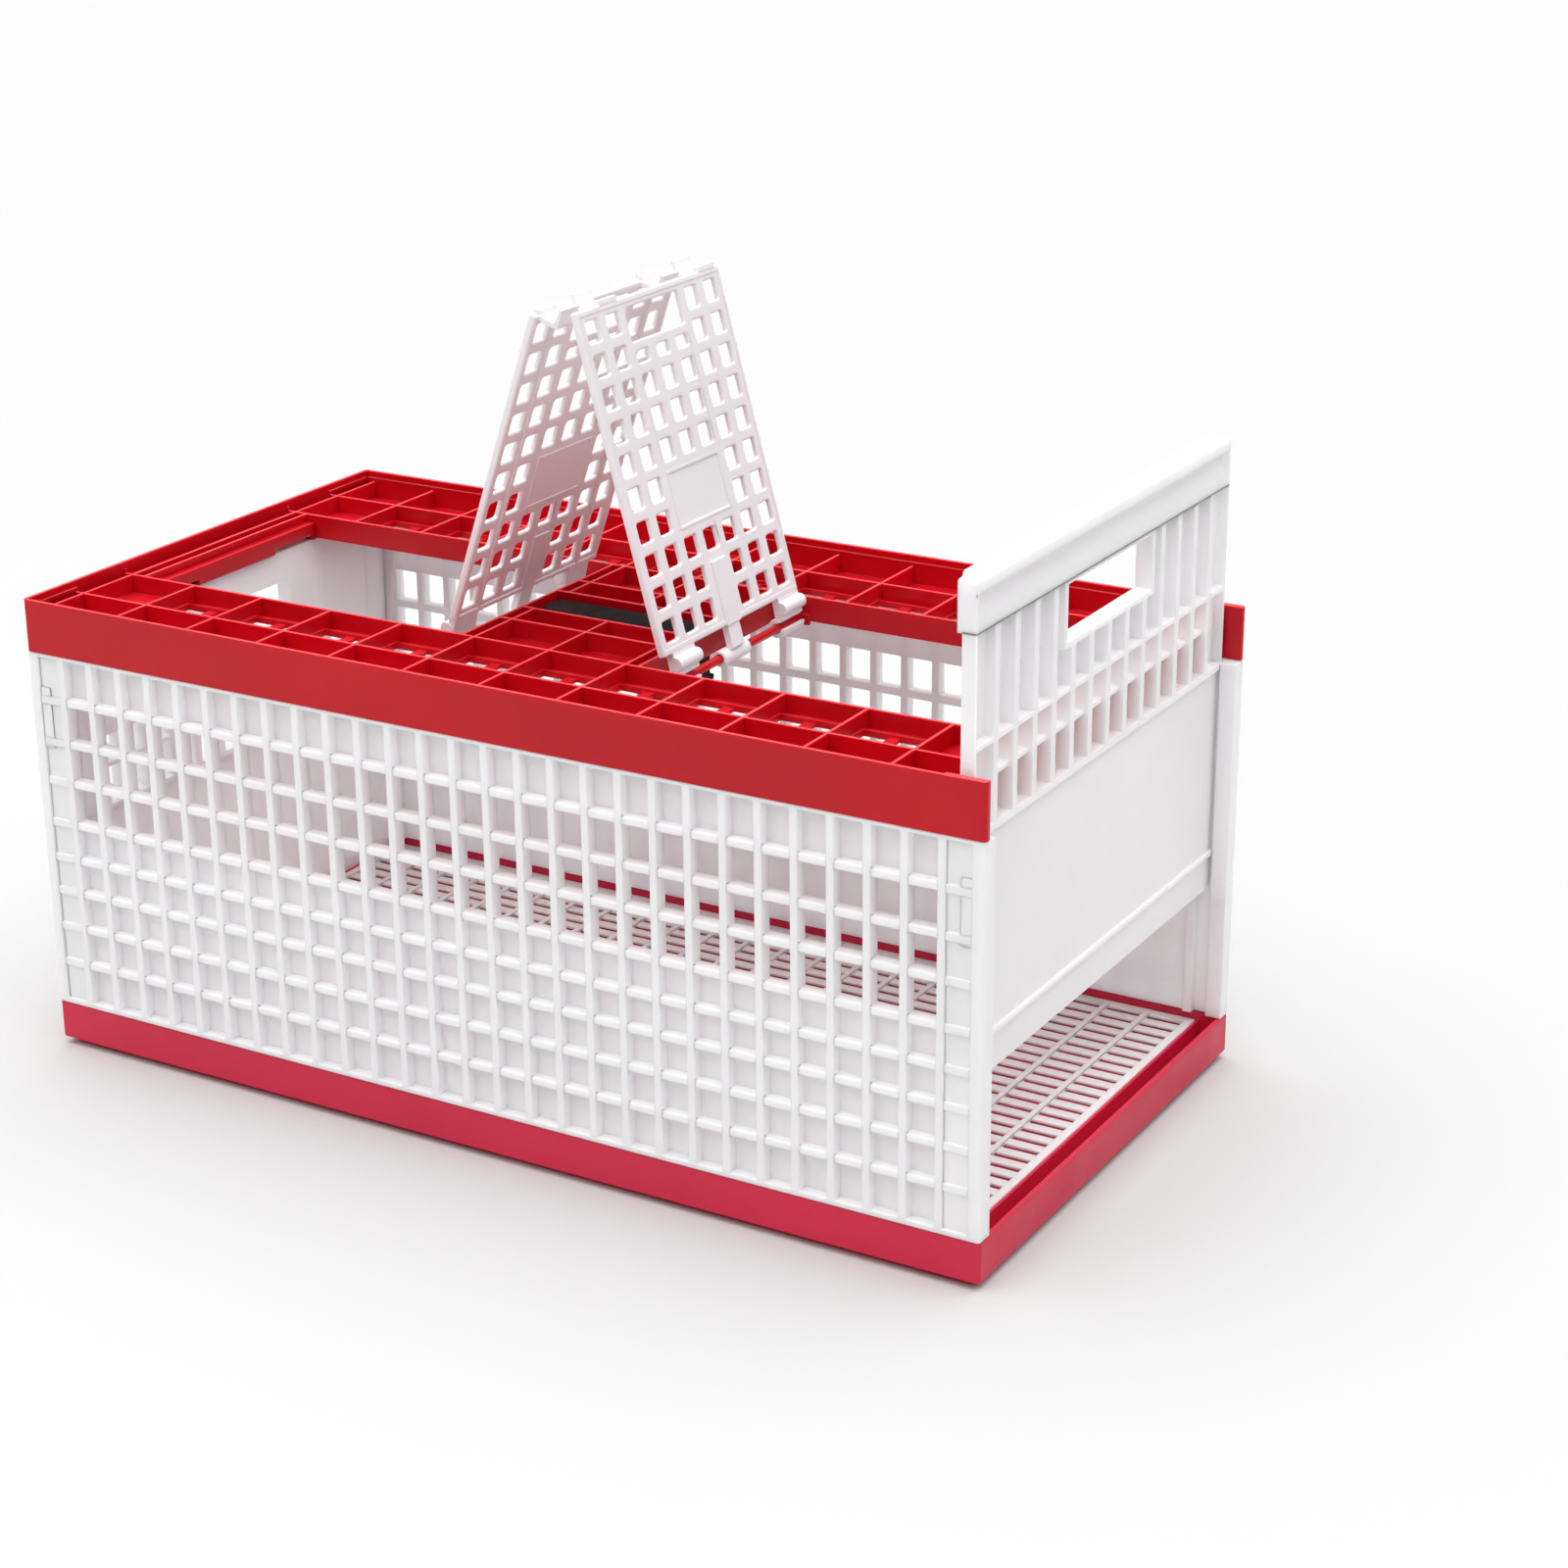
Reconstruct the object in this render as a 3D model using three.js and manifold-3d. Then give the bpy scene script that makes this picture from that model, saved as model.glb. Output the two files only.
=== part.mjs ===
// Plastic carrying crate for pigeons: a red base tray and a red top frame hold
// four white lattice walls, two white lids swing up from the centre bridge of
// the frame, and a full height gate slides up out of the right hand end.
// Millimetres. X runs along the crate to the gate end, Y runs from the front
// wall to the back wall, Z is up, and the origin is under the middle of the base.

import * as THREE from 'three';
import { mergeVertices } from 'three/addons/utils/BufferGeometryUtils.js';
import Module from 'manifold-3d';

const wasm = await Module();
wasm.setup();

// Whole crate
const crate_length = 750;
const crate_width = 395;
const crate_height = 339.5;
const rest_gap = 0.3;
const cut_overrun = 2;
const corner_radius = 9;
const corner_steps = 3;
const round_sides = 12;

// Base tray
const foot_height = 5;
const foot_inset = 15;
const foot_wall = 6;
const base_rim_height = 33.5;
const base_inset = 0.5;
const base_wall = 7;
const base_end_lip = 4;
const base_floor = 3;
const sill_height = 19;
const sill_play = 0.6;
const bearer_thickness = 4;
const bearer_count = 5;

// Floor grate
const grate_thickness = 3;
const grate_end_margin = 21.7;
const grate_side_play = 0.6;
const grate_border = 9;
const grate_bar = 5.5;
const grate_columns = 5;
const grate_rows = 9;

// Long walls
const wall_depth = 10.5;
const wall_skin = 2.5;
const wall_rib_count = 28;
const wall_rib_width = 5.5;
const wall_end_margin = 29.4;
const wall_row_rib = 6;
const wall_top_flange = 2.5;
const wall_bottom_flange = 4;
const wall_row_shares = [0.5284, 0.6463, 0.7567, 0.8728];
const wall_open_rows = [1, 2, 3];
const wall_corner_radius = 12;
const end_column_margin = 9;
const end_column_depth = 2.6;
const end_strip_width = 8;
const end_strip_bottom_share = 0.738;
const end_strip_top_share = 0.907;
const wall_post_depth = 14;
const wall_guide_rib = 7;
const wall_channel_skin = 8.2;
const tongue_thickness = 2.4;
const tongue_height = 9;
const tongue_end_margin = 36;

// End panels: the sliding gate and the fixed left wall share one section
const gate_recess = 12.5;
const gate_depth = 13.5;
const gate_post_depth = 10;
const gate_play = 0.4;
const gate_side_play = 0.8;
const panel_grid_depth = 12.5;
const panel_skin = 2.5;
const panel_plate = 3;
const panel_plate_setback = 2.5;
const panel_edge_width = 13;
const panel_post_width = 31.4;
const panel_rib_width = 7;
const panel_cells = 12;
const panel_foot_inset = 2.4;
const panel_bead_height = 4;
const panel_low_rib = 5;
const panel_thin_rib = 3.5;
const panel_mid_rib_setback = 3;
const grille_bottom_share = 0.5146;
const grille_mid_share = 0.6445;
const grille_upper_share = 0.7343;
const slot_length = 127;
const slot_wall = 4;
const gate_slot_bottom_share = 0.854;
const wall_slot_bottom_share = 0.815;
const slot_top_drop = 2;
const gate_head_drop = 1.2;
const gate_lip_rise = 3.5;
const gate_lip_width = 3.5;
const gate_lip_end_inset = 7;
const gate_head_front = 9;
const gate_head_channel = 6.5;
const gate_head_sill = 3;
const gate_top_groove = 3.5;
const gate_flange_width = 2.5;
const gate_raised = 123.5;
const wall_head_height = 11;

// Top frame
const frame_depth = 38.2;
const frame_wall = 2.8;
const frame_deck = 2.5;
const frame_deck_drop = 21;
const frame_rib_drop = 8;
const frame_rib = 3;
const frame_centre_shift = 4;
const bridge_end_play = 7;
const cross_rib_pitch = 60.8;
const cross_ribs_each_side = 5;
const mid_rib_y_share = 0.742;
const opening_y_share = 0.4785;
const bridge_rib_y_share = 0.248;
const skirt_bottom_drop = 26;
const rail_end_wall = 5.5;
const end_rail_gap = 0.7;
const end_rib_inset = 10;
const vent_length = 17;
const vent_width = 21;
const vent_first = 7;
const vent_second = 34;

// Hinge rods across the openings, and the catch beams at the openings' far ends
const rod_radius = 3;
const rod_play = 0.15;
const rod_drop = 23.5;
const hinge_rod_offset = 14;
const rod_boss_half = 7.5;
const rod_boss_drop = 5.5;
const catch_top_drop = 13.5;
const catch_bottom_drop = 27.5;
const catch_round = 3;
const catch_notch_height = 4;
const catch_depth = 7.4;
const catch_notch_length = 47;
const catch_notch_reach = 3;

// Lids
const lid_side_play = 6.5;
const lid_thickness = 4.5;
const lid_top_drop = 3;
const lid_rim_rise = 1;
const lid_rim_width = 4;
const lid_hinge_arm = 20.5;
const lid_end_play = 3.8;
const lid_rows = 10;
const lid_end_border = 15;
const lid_hole_length_share = 0.6696;
const lid_column_pitch_share = 0.2761;
const lid_columns = 7;
const lid_hole_width_share = 0.7202;
const lid_plate_first_row = 3;
const lid_plate_rows = 2;
const lid_plate_columns = 3;
const lid_boss_rows = 2;
const lid_boss_half = 9;
const lid_boss_rise = 1;
const lid_window_share = 1.358;
const lid_short_hole = 8;
const clip_play = 0.3;
const clip_wall = 3.5;
const clip_width = 28;
const clip_far_inset = 10;
const clip_roll_radius = 5;
const clip_roll_reach = 13;
const clip_mouth = 5;
const clip_mouth_shift = 1.5;
const hub_wall = 2.4;
const hub_length = 34;
const strut_width = 15;
const fork_width = 21;
const fork_near_inset = 4.5;
const fork_far_inset = 27.5;
const fork_finger = 2.8;
const fork_riser = 4;
const fork_play = 0.6;
const right_lid_lean = 15.6;
const left_lid_lean = 19;

// Carrying handle
const handle_length = 130;
const handle_width = 28;
const handle_thickness = 10.2;
const handle_drop = 10.5;
const handle_corner = 9;
const handle_edge = 2;
const handle_leg_length = 14;
const handle_leg_width = 15;
const handle_leg_inset = 8;
const handle_leg_play = 0.6;
const handle_head_height = 4;
const handle_head_extra = 5;
const handle_travel = 22;
const handle_well_play = 6;

// Levels and planes worked out from the sizes above
const half_length = crate_length / 2;
const half_width = crate_width / 2;
const bridge_half = handle_length / 2 + bridge_end_play;
const frame_bottom = crate_height - frame_depth;
const wall_bottom = base_rim_height + rest_gap;
const wall_top = frame_bottom - rest_gap;
const wall_height = wall_top - wall_bottom;
const base_floor_top = foot_height + base_floor;
const base_half_width = half_width - base_inset;
const base_inner_y = base_half_width - base_wall;
const grate_bottom = base_floor_top + sill_height - grate_thickness;
const bearer_top = grate_bottom - rest_gap;
const grate_end = half_length - grate_end_margin;
const panel_front = half_length - gate_recess;
const panel_back = panel_front - gate_depth;
const plate_front = panel_front - panel_plate_setback;
const plate_back = plate_front - panel_plate;
const channel_side = half_width - wall_channel_skin;
const left_wall_top = crate_height - catch_bottom_drop - rest_gap;
const panel_half = channel_side - gate_side_play;
const channel_outer = panel_front + gate_play;
const channel_inner = panel_front - gate_post_depth - gate_play;
const post_inner_y = half_width - wall_post_depth;
const tongue_outer_y = half_width - frame_wall - rest_gap;
const tongue_inner_y = tongue_outer_y - tongue_thickness;
const tongue_half = half_length - tongue_end_margin;
const deck_top = crate_height - frame_deck_drop;
const deck_bottom = deck_top - frame_deck;
const rib_top = crate_height - frame_rib_drop;
const skirt_bottom = crate_height - skirt_bottom_drop;
const opening_y = half_width * opening_y_share;
const mid_rib_y = half_width * mid_rib_y_share;
const bridge_rib_y = half_width * bridge_rib_y_share;
const frame_centre = -frame_centre_shift;
const frame_right = panel_back - end_rail_gap;
const rod_height = crate_height - rod_drop;
const clip_inner = rod_radius + clip_play;
const clip_outer = clip_inner + clip_wall;
const hub_outer = clip_inner + hub_wall;
const hinge_reach = bridge_half + hinge_rod_offset;
const catch_reach = frame_right - frame_rib - frame_centre - hinge_reach - catch_depth;
const lid_plate_length = catch_reach - lid_hinge_arm - lid_end_play;
const lid_row_pitch = (lid_plate_length - lid_end_border * 2) / (lid_rows - 1);
const lid_hole_length = lid_row_pitch * lid_hole_length_share;
const catch_top = crate_height - catch_top_drop;
const catch_bottom = crate_height - catch_bottom_drop;
const lid_half = opening_y - lid_side_play;
const lid_column_pitch = lid_half * lid_column_pitch_share;
const lid_hole_width = lid_column_pitch * lid_hole_width_share;
const lid_window_half = lid_column_pitch * lid_window_share;
const catch_notch_outer = lid_half + catch_notch_reach;
const catch_notch_inner = catch_notch_outer - catch_notch_length;

// Geometry helpers: three.js shapes become solids that can be joined and cut
function solidOf(geometry) {
  const plain = geometry.index ? geometry.toNonIndexed() : geometry;
  plain.deleteAttribute('normal');
  plain.deleteAttribute('uv');
  const merged = mergeVertices(plain);
  const vertProperties = new Float32Array(merged.attributes.position.array);
  const triVerts = new Uint32Array(merged.index.array);
  return new wasm.Manifold(new wasm.Mesh({ numProp: 3, vertProperties, triVerts }));
}

function box(x0, x1, y0, y1, z0, z1) {
  const geometry = new THREE.BoxGeometry(x1 - x0, y1 - y0, z1 - z0);
  geometry.translate((x0 + x1) / 2, (y0 + y1) / 2, (z0 + z1) / 2);
  return solidOf(geometry);
}

// A rod or a round hole along Y
function rodAlongY(radius, x, z, y0, y1) {
  const geometry = new THREE.CylinderGeometry(radius, radius, y1 - y0, round_sides);
  geometry.translate(x, (y0 + y1) / 2, z);
  return solidOf(geometry);
}

// An upright block with round corners, centred on a point
function roundBlock(centre_x, centre_y, length, width, radius, z0, z1) {
  const shape = new THREE.Shape();
  const reach_x = length / 2 - radius;
  const reach_y = width / 2 - radius;
  shape.absarc(reach_x, reach_y, radius, 0, Math.PI / 2);
  shape.absarc(-reach_x, reach_y, radius, Math.PI / 2, Math.PI);
  shape.absarc(-reach_x, -reach_y, radius, Math.PI, Math.PI * 3 / 2);
  shape.absarc(reach_x, -reach_y, radius, Math.PI * 3 / 2, Math.PI * 2);
  const options = { depth: z1 - z0, bevelEnabled: false, curveSegments: corner_steps };
  const geometry = new THREE.ExtrudeGeometry(shape, options);
  geometry.translate(centre_x, centre_y, z0);
  return solidOf(geometry);
}

// A bar along Y whose section is an outline of [x, z] points
function barAlongY(points, y0, y1) {
  const shape = new THREE.Shape(points.map(([x, z]) => new THREE.Vector2(x, z)));
  const geometry = new THREE.ExtrudeGeometry(shape, { depth: y1 - y0, bevelEnabled: false });
  geometry.rotateX(Math.PI / 2);
  geometry.translate(0, y1, 0);
  return solidOf(geometry);
}

function join(...solids) {
  return solids.flat().reduce((whole, solid) => whole.add(solid));
}

function cut(solid, ...cutters) {
  return solid.subtract(join(...cutters));
}

// A solid's mirror image across the X or Y axis, with its faces turned out again
function mirrored(solid, axis) {
  const data = solid.getMesh();
  const vertProperties = data.vertProperties.map((value, index) => (index % 3 === axis ? -value : value));
  const triVerts = new Uint32Array(data.triVerts).reverse();
  return new wasm.Manifold(new wasm.Mesh({ numProp: 3, vertProperties, triVerts }));
}

function mirrorX(solid) {
  return mirrored(solid, 0);
}

function mirrorY(solid) {
  return mirrored(solid, 1);
}

function bothEnds(solid) {
  return [solid, mirrorX(solid)];
}

function bothSides(solid) {
  return [solid, mirrorY(solid)];
}

function meshOf(name, solid, material) {
  const data = solid.getMesh();
  const geometry = new THREE.BufferGeometry();
  geometry.setAttribute('position', new THREE.BufferAttribute(new Float32Array(data.vertProperties), 3));
  geometry.setIndex(new THREE.BufferAttribute(new Uint32Array(data.triVerts), 1));
  geometry.computeVertexNormals();
  const mesh = new THREE.Mesh(geometry, material);
  mesh.name = name;
  return mesh;
}

// Materials
const red_plastic = new THREE.MeshStandardMaterial({ color: 0xc40616, roughness: 0.42, metalness: 0 });
const base_plastic = new THREE.MeshStandardMaterial({ color: 0xb81538, roughness: 0.45, metalness: 0 });
const white_plastic = new THREE.MeshStandardMaterial({ color: 0xe8e6ec, roughness: 0.48, metalness: 0 });
const black_plastic = new THREE.MeshStandardMaterial({ color: 0x1c191c, roughness: 0.5, metalness: 0 });

// Base tray: a shallow box on a foot rim, with grooves for the walls' tongues,
// a sill and a groove across each end for the end panels, and grate bearers.
function makeBaseTray() {
  const length = crate_length;
  const width = base_half_width * 2;
  const shell = roundBlock(0, 0, length, width, corner_radius, foot_height, base_rim_height);
  const inner_x = half_length - base_end_lip;
  const sill_inner = grate_end + grate_side_play;
  const sill_outer = plate_back - sill_play;
  const over = base_rim_height + cut_overrun;
  const middle = box(-sill_inner, sill_inner, -base_inner_y, base_inner_y, base_floor_top, over);
  const groove = box(sill_outer, inner_x, -base_inner_y, base_inner_y, base_floor_top, over);
  const sill_top = base_floor_top + sill_height;
  const sill_cut = box(sill_inner, sill_outer, -base_inner_y, base_inner_y, sill_top, over);
  const widened = sill_cut.add(box(
    sill_inner - rest_gap, sill_outer + rest_gap, -base_inner_y, base_inner_y, sill_top, over));
  const tongue_groove = box(
    -tongue_half - rest_gap, tongue_half + rest_gap,
    tongue_inner_y - rest_gap, tongue_outer_y + rest_gap,
    base_rim_height - tongue_height, over);
  const foot_length = length - foot_inset * 2;
  const foot_width = width - foot_inset * 2;
  const foot = roundBlock(0, 0, foot_length, foot_width, corner_radius, 0, foot_height + base_floor / 2);
  const foot_hollow = roundBlock(
    0, 0, foot_length - foot_wall * 2, foot_width - foot_wall * 2, corner_radius - foot_wall / 2,
    -cut_overrun, foot_height);
  const bearers = [];
  const bearer_pitch = grate_end * 2 / (bearer_count + 1);
  for (let index = 1; index <= bearer_count; index += 1) {
    const x = -grate_end + bearer_pitch * index;
    bearers.push(box(
      x - bearer_thickness / 2, x + bearer_thickness / 2,
      -base_inner_y - base_wall / 4, base_inner_y + base_wall / 4,
      base_floor_top - base_floor / 2, bearer_top));
  }
  const hollow = cut(
    shell, middle, bothEnds(groove), bothEnds(widened), bothSides(tongue_groove));
  return join(hollow, foot.subtract(foot_hollow), bearers);
}

// Floor grate: a flat plate with rows of long slots
function makeFloorGrate() {
  const half_x = grate_end;
  const half_y = base_inner_y - grate_side_play;
  const top = grate_bottom + grate_thickness;
  const plate = box(-half_x, half_x, -half_y, half_y, grate_bottom, top);
  const span_x = (half_x - grate_border) * 2;
  const span_y = (half_y - grate_border) * 2;
  const slot_x = (span_x - grate_bar * (grate_columns - 1)) / grate_columns;
  const slot_y = (span_y - grate_bar * (grate_rows - 1)) / grate_rows;
  const slots = [];
  for (let column = 0; column < grate_columns; column += 1) {
    for (let row = 0; row < grate_rows; row += 1) {
      const x = -half_x + grate_border + column * (slot_x + grate_bar);
      const y = -half_y + grate_border + row * (slot_y + grate_bar);
      slots.push(box(x, x + slot_x, y, y + slot_y, grate_bottom - cut_overrun, top + cut_overrun));
    }
  }
  return cut(plate, slots);
}

function wallLevel(share) {
  return wall_bottom + wall_height * share;
}

// Long wall, built as the back wall with its ribs towards +Y. The cells of the
// middle band go right through, and the others are pockets with a closed skin.
function makeLongWall() {
  const inner = half_width - wall_depth;
  const outer = half_width;
  const footprint = roundBlock(
    0, 0, crate_length, crate_width, wall_corner_radius, wall_bottom, wall_top);
  const slab = box(
    -half_length, half_length, inner, outer + cut_overrun,
    wall_bottom - cut_overrun, wall_top + cut_overrun);
  const post = box(
    channel_outer, half_length + cut_overrun, post_inner_y, outer,
    wall_bottom - cut_overrun, wall_top + cut_overrun);
  const guide = box(
    channel_inner - wall_guide_rib, channel_inner, post_inner_y, inner + wall_skin, wall_bottom, wall_top);
  const channel = box(
    channel_inner, channel_outer, inner - cut_overrun, channel_side,
    wall_bottom - cut_overrun, wall_top + cut_overrun);
  const rib_half = half_length - wall_end_margin;
  const pitch = rib_half * 2 / (wall_rib_count - 1);
  const edges = [wall_bottom + wall_bottom_flange];
  for (const share of wall_row_shares) {
    edges.push(wallLevel(share) - wall_row_rib / 2);
    edges.push(wallLevel(share) + wall_row_rib / 2);
  }
  edges.push(wall_top - wall_top_flange);
  const cells = [];
  const pocket_y = inner + wall_skin;
  for (let row = 0; row <= wall_row_shares.length; row += 1) {
    const z0 = edges[row * 2];
    const z1 = edges[row * 2 + 1];
    const y0 = wall_open_rows.includes(row) ? inner - cut_overrun : pocket_y;
    for (let column = 0; column < wall_rib_count - 1; column += 1) {
      const x0 = -rib_half + pitch * column + wall_rib_width / 2;
      const x1 = -rib_half + pitch * (column + 1) - wall_rib_width / 2;
      cells.push(box(x0, x1, y0, outer + cut_overrun, z0, z1));
    }
    const end_x0 = rib_half + wall_rib_width / 2;
    const end_x1 = half_length - end_column_margin;
    cells.push(...bothEnds(box(end_x0, end_x1, outer - end_column_depth, outer + cut_overrun, z0, z1)));
  }
  const strip_x1 = half_length - end_column_margin;
  const strip = box(
    strip_x1 - end_strip_width, strip_x1 + end_column_depth / 2,
    outer - end_column_depth * 2, outer - end_column_depth / 2,
    wallLevel(end_strip_bottom_share), wallLevel(end_strip_top_share));
  const lower_tongue = box(
    -tongue_half, tongue_half, tongue_inner_y, tongue_outer_y,
    wall_bottom - tongue_height + rest_gap * 2, wall_bottom + wall_bottom_flange / 2);
  const upper_tongue = box(
    -tongue_half, tongue_half, tongue_inner_y, tongue_outer_y,
    wall_top - wall_top_flange / 2, wall_top + tongue_height);
  const panel = footprint.intersect(join(slab, bothEnds(post)));
  const ribbed = cut(panel, cells);
  const framed = join(ribbed, bothEnds(guide), bothEnds(strip), lower_tongue, upper_tongue);
  return cut(framed, bothEnds(channel));
}

// Section shared by both end panels, built for the right hand end:
// a flat lower plate, then a grille with a hand slot, between two side posts.
function makeEndPanel(grille_top, panel_top, slot_bottom) {
  const foot = base_floor_top + rest_gap;
  const foot_half = base_inner_y - panel_foot_inset;
  const grille_bottom = wallLevel(grille_bottom_share);
  const grille_half = panel_half - panel_post_width;
  const grid_back = panel_front - panel_grid_depth;
  const post_back = panel_front - gate_post_depth;
  const post_bottom = wall_bottom + rest_gap;
  const over_front = panel_front + cut_overrun;
  const over_back = panel_back - cut_overrun;
  const plate = box(plate_back, plate_front, -foot_half, foot_half, foot, grille_bottom + panel_low_rib / 2);
  const edge = box(
    post_back, panel_front, panel_half - panel_edge_width, panel_half, post_bottom, panel_top);
  const post = box(
    post_back, panel_front, grille_half - rest_gap, panel_half - panel_edge_width / 2,
    grille_bottom, panel_top);
  const bead = box(
    plate_back, panel_front, -panel_half + panel_edge_width / 2, panel_half - panel_edge_width / 2,
    post_bottom, post_bottom + panel_bead_height);
  const grid = box(
    grid_back, panel_front, -grille_half - rest_gap, grille_half + rest_gap, grille_bottom, panel_top);
  const cells = [];
  const cell_width = (grille_half * 2 - panel_rib_width * (panel_cells - 1)) / panel_cells;
  const mid = wallLevel(grille_mid_share);
  const upper = wallLevel(grille_upper_share);
  const skin_x = grid_back + panel_skin;
  const slot_half = slot_length / 2;
  const collar_half = slot_half + slot_wall;
  const row_start = grille_bottom + panel_low_rib;
  const row_bottom = upper + panel_thin_rib / 2;
  const slot_top = grille_top - slot_top_drop;
  for (let index = 0; index < panel_cells; index += 1) {
    const y0 = -grille_half + index * (cell_width + panel_rib_width);
    const y1 = y0 + cell_width;
    cells.push(box(over_back, over_front, y0, y1, row_start, mid - panel_thin_rib / 2));
    cells.push(box(over_back, over_front, y0, y1, mid + panel_thin_rib / 2, upper - panel_thin_rib / 2));
    const under_slot = y1 > -collar_half && y0 < collar_half;
    const row_top = under_slot ? slot_bottom - slot_wall : grille_top;
    cells.push(box(skin_x, over_front, y0, y1, row_bottom, row_top));
    const left_part = Math.min(y1, -collar_half);
    const right_part = Math.max(y0, collar_half);
    if (under_slot && left_part - y0 > panel_thin_rib) {
      cells.push(box(skin_x, over_front, y0, left_part, row_bottom, grille_top));
    }
    if (under_slot && y1 - right_part > panel_thin_rib) {
      cells.push(box(skin_x, over_front, right_part, y1, row_bottom, grille_top));
    }
  }
  const mid_setback = box(
    panel_front - panel_mid_rib_setback, over_front, -grille_half + cell_width, grille_half - cell_width,
    mid - panel_thin_rib, mid + panel_thin_rib);
  const slot = box(over_back, over_front, -slot_half, slot_half, slot_bottom, slot_top);
  const solid = join(plate, bothSides(edge), bothSides(post), bead, grid);
  return cut(solid, cells, mid_setback, slot);
}

// Sliding gate, in its closed place: the panel with a deeper head on top
function makeGate() {
  const head_top = crate_height - gate_head_drop;
  const flange_top = head_top - gate_lip_rise;
  const head_bottom = frame_bottom + rest_gap;
  const panel = makeEndPanel(head_bottom, head_bottom + gate_head_sill, wallLevel(gate_slot_bottom_share));
  const head = box(panel_back, panel_front, -panel_half, panel_half, head_bottom, flange_top);
  const lip = box(
    panel_back, panel_back + gate_lip_width, -panel_half + gate_lip_end_inset,
    panel_half - gate_lip_end_inset, head_bottom + gate_head_sill, head_top);
  const channel_top = flange_top - gate_head_front;
  const channel_back = panel_front - gate_head_channel;
  const channel_bottom = head_bottom + gate_head_sill;
  const slope = gate_head_channel / 2;
  const channel = barAlongY([
    [panel_front + cut_overrun, channel_bottom],
    [panel_front + cut_overrun, channel_top],
    [channel_back + slope / 2, channel_top],
    [channel_back, channel_top - slope],
    [channel_back, channel_bottom + slope * 2],
    [channel_back + slope, channel_bottom],
  ], -panel_half + panel_edge_width, panel_half - panel_edge_width);
  const groove = box(
    panel_back + gate_lip_width, panel_front - gate_flange_width,
    -panel_half + gate_flange_width, panel_half - gate_flange_width,
    flange_top - gate_top_groove, flange_top + cut_overrun);
  return cut(join(panel, head, lip), channel, groove);
}

// Left end wall: the same panel, closed at the top by a plain rail
function makeLeftWall() {
  const grille_top = wall_top - wall_head_height;
  const panel = makeEndPanel(grille_top, left_wall_top, wallLevel(wall_slot_bottom_share));
  return mirrorX(panel);
}

// Places along X of the two hinge rods and of the catch beams' faces
const left_hinge_x = frame_centre - hinge_reach;
const right_hinge_x = frame_centre + hinge_reach;
const left_catch_x = left_hinge_x - catch_reach;
const right_catch_x = right_hinge_x + catch_reach;
const left_opening = [left_catch_x - catch_depth, frame_centre - bridge_half];
const right_opening = [frame_centre + bridge_half, frame_right - frame_rib];
const opening_half = opening_y - frame_rib / 2;
const opening_outer = opening_y + frame_rib / 2;

// Catch beam across an opening's far end, with a rounded top edge on the side
// of the lid and a notch under it at each fork. side is +1 at the right end.
function makeCatchBeam(face_x, side) {
  const back_x = face_x + side * (catch_depth + frame_rib / 2);
  const notch_x = face_x + side * catch_depth;
  const round_x = face_x + side * catch_round;
  const half_round = catch_round / 2;
  const beam = barAlongY([
    [back_x, catch_bottom],
    [face_x + side * half_round, catch_bottom],
    [face_x, catch_bottom + half_round],
    [face_x, catch_top - catch_round],
    [face_x + side * half_round / 2, catch_top - half_round],
    [round_x, catch_top],
    [back_x, catch_top],
  ], -opening_y, opening_y);
  const mouth_x = face_x - side * cut_overrun;
  const notch = box(
    Math.min(mouth_x, notch_x), Math.max(mouth_x, notch_x), catch_notch_inner, catch_notch_outer,
    catch_bottom - cut_overrun, catch_bottom + catch_notch_height);
  return cut(beam, bothSides(notch));
}

// Middles of the ribs that cross the frame from front to back
function crossRibPlaces() {
  const places = [-half_length + end_rib_inset];
  for (let index = -cross_ribs_each_side; index <= cross_ribs_each_side; index += 1) {
    places.push(frame_centre + cross_rib_pitch * index);
  }
  return places;
}

// Pockets of the rib grid: every span between two cross ribs, clipped to a
// length and a band of the frame, from the deck up
function ribPockets(x_start, x_end, y0, y1) {
  const places = crossRibPlaces();
  const starts = [x_start, ...places.map((x) => x + frame_rib / 2)];
  const ends = [...places.map((x) => x - frame_rib / 2), x_end];
  const pockets = [];
  starts.forEach((start, index) => {
    const x0 = Math.max(start, x_start);
    const x1 = Math.min(ends[index], x_end);
    if (x1 - x0 > frame_rib / 2) {
      pockets.push(...bothSides(box(x0, x1, y0, y1, deck_top, crate_height + cut_overrun)));
    }
  });
  return pockets;
}

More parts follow.
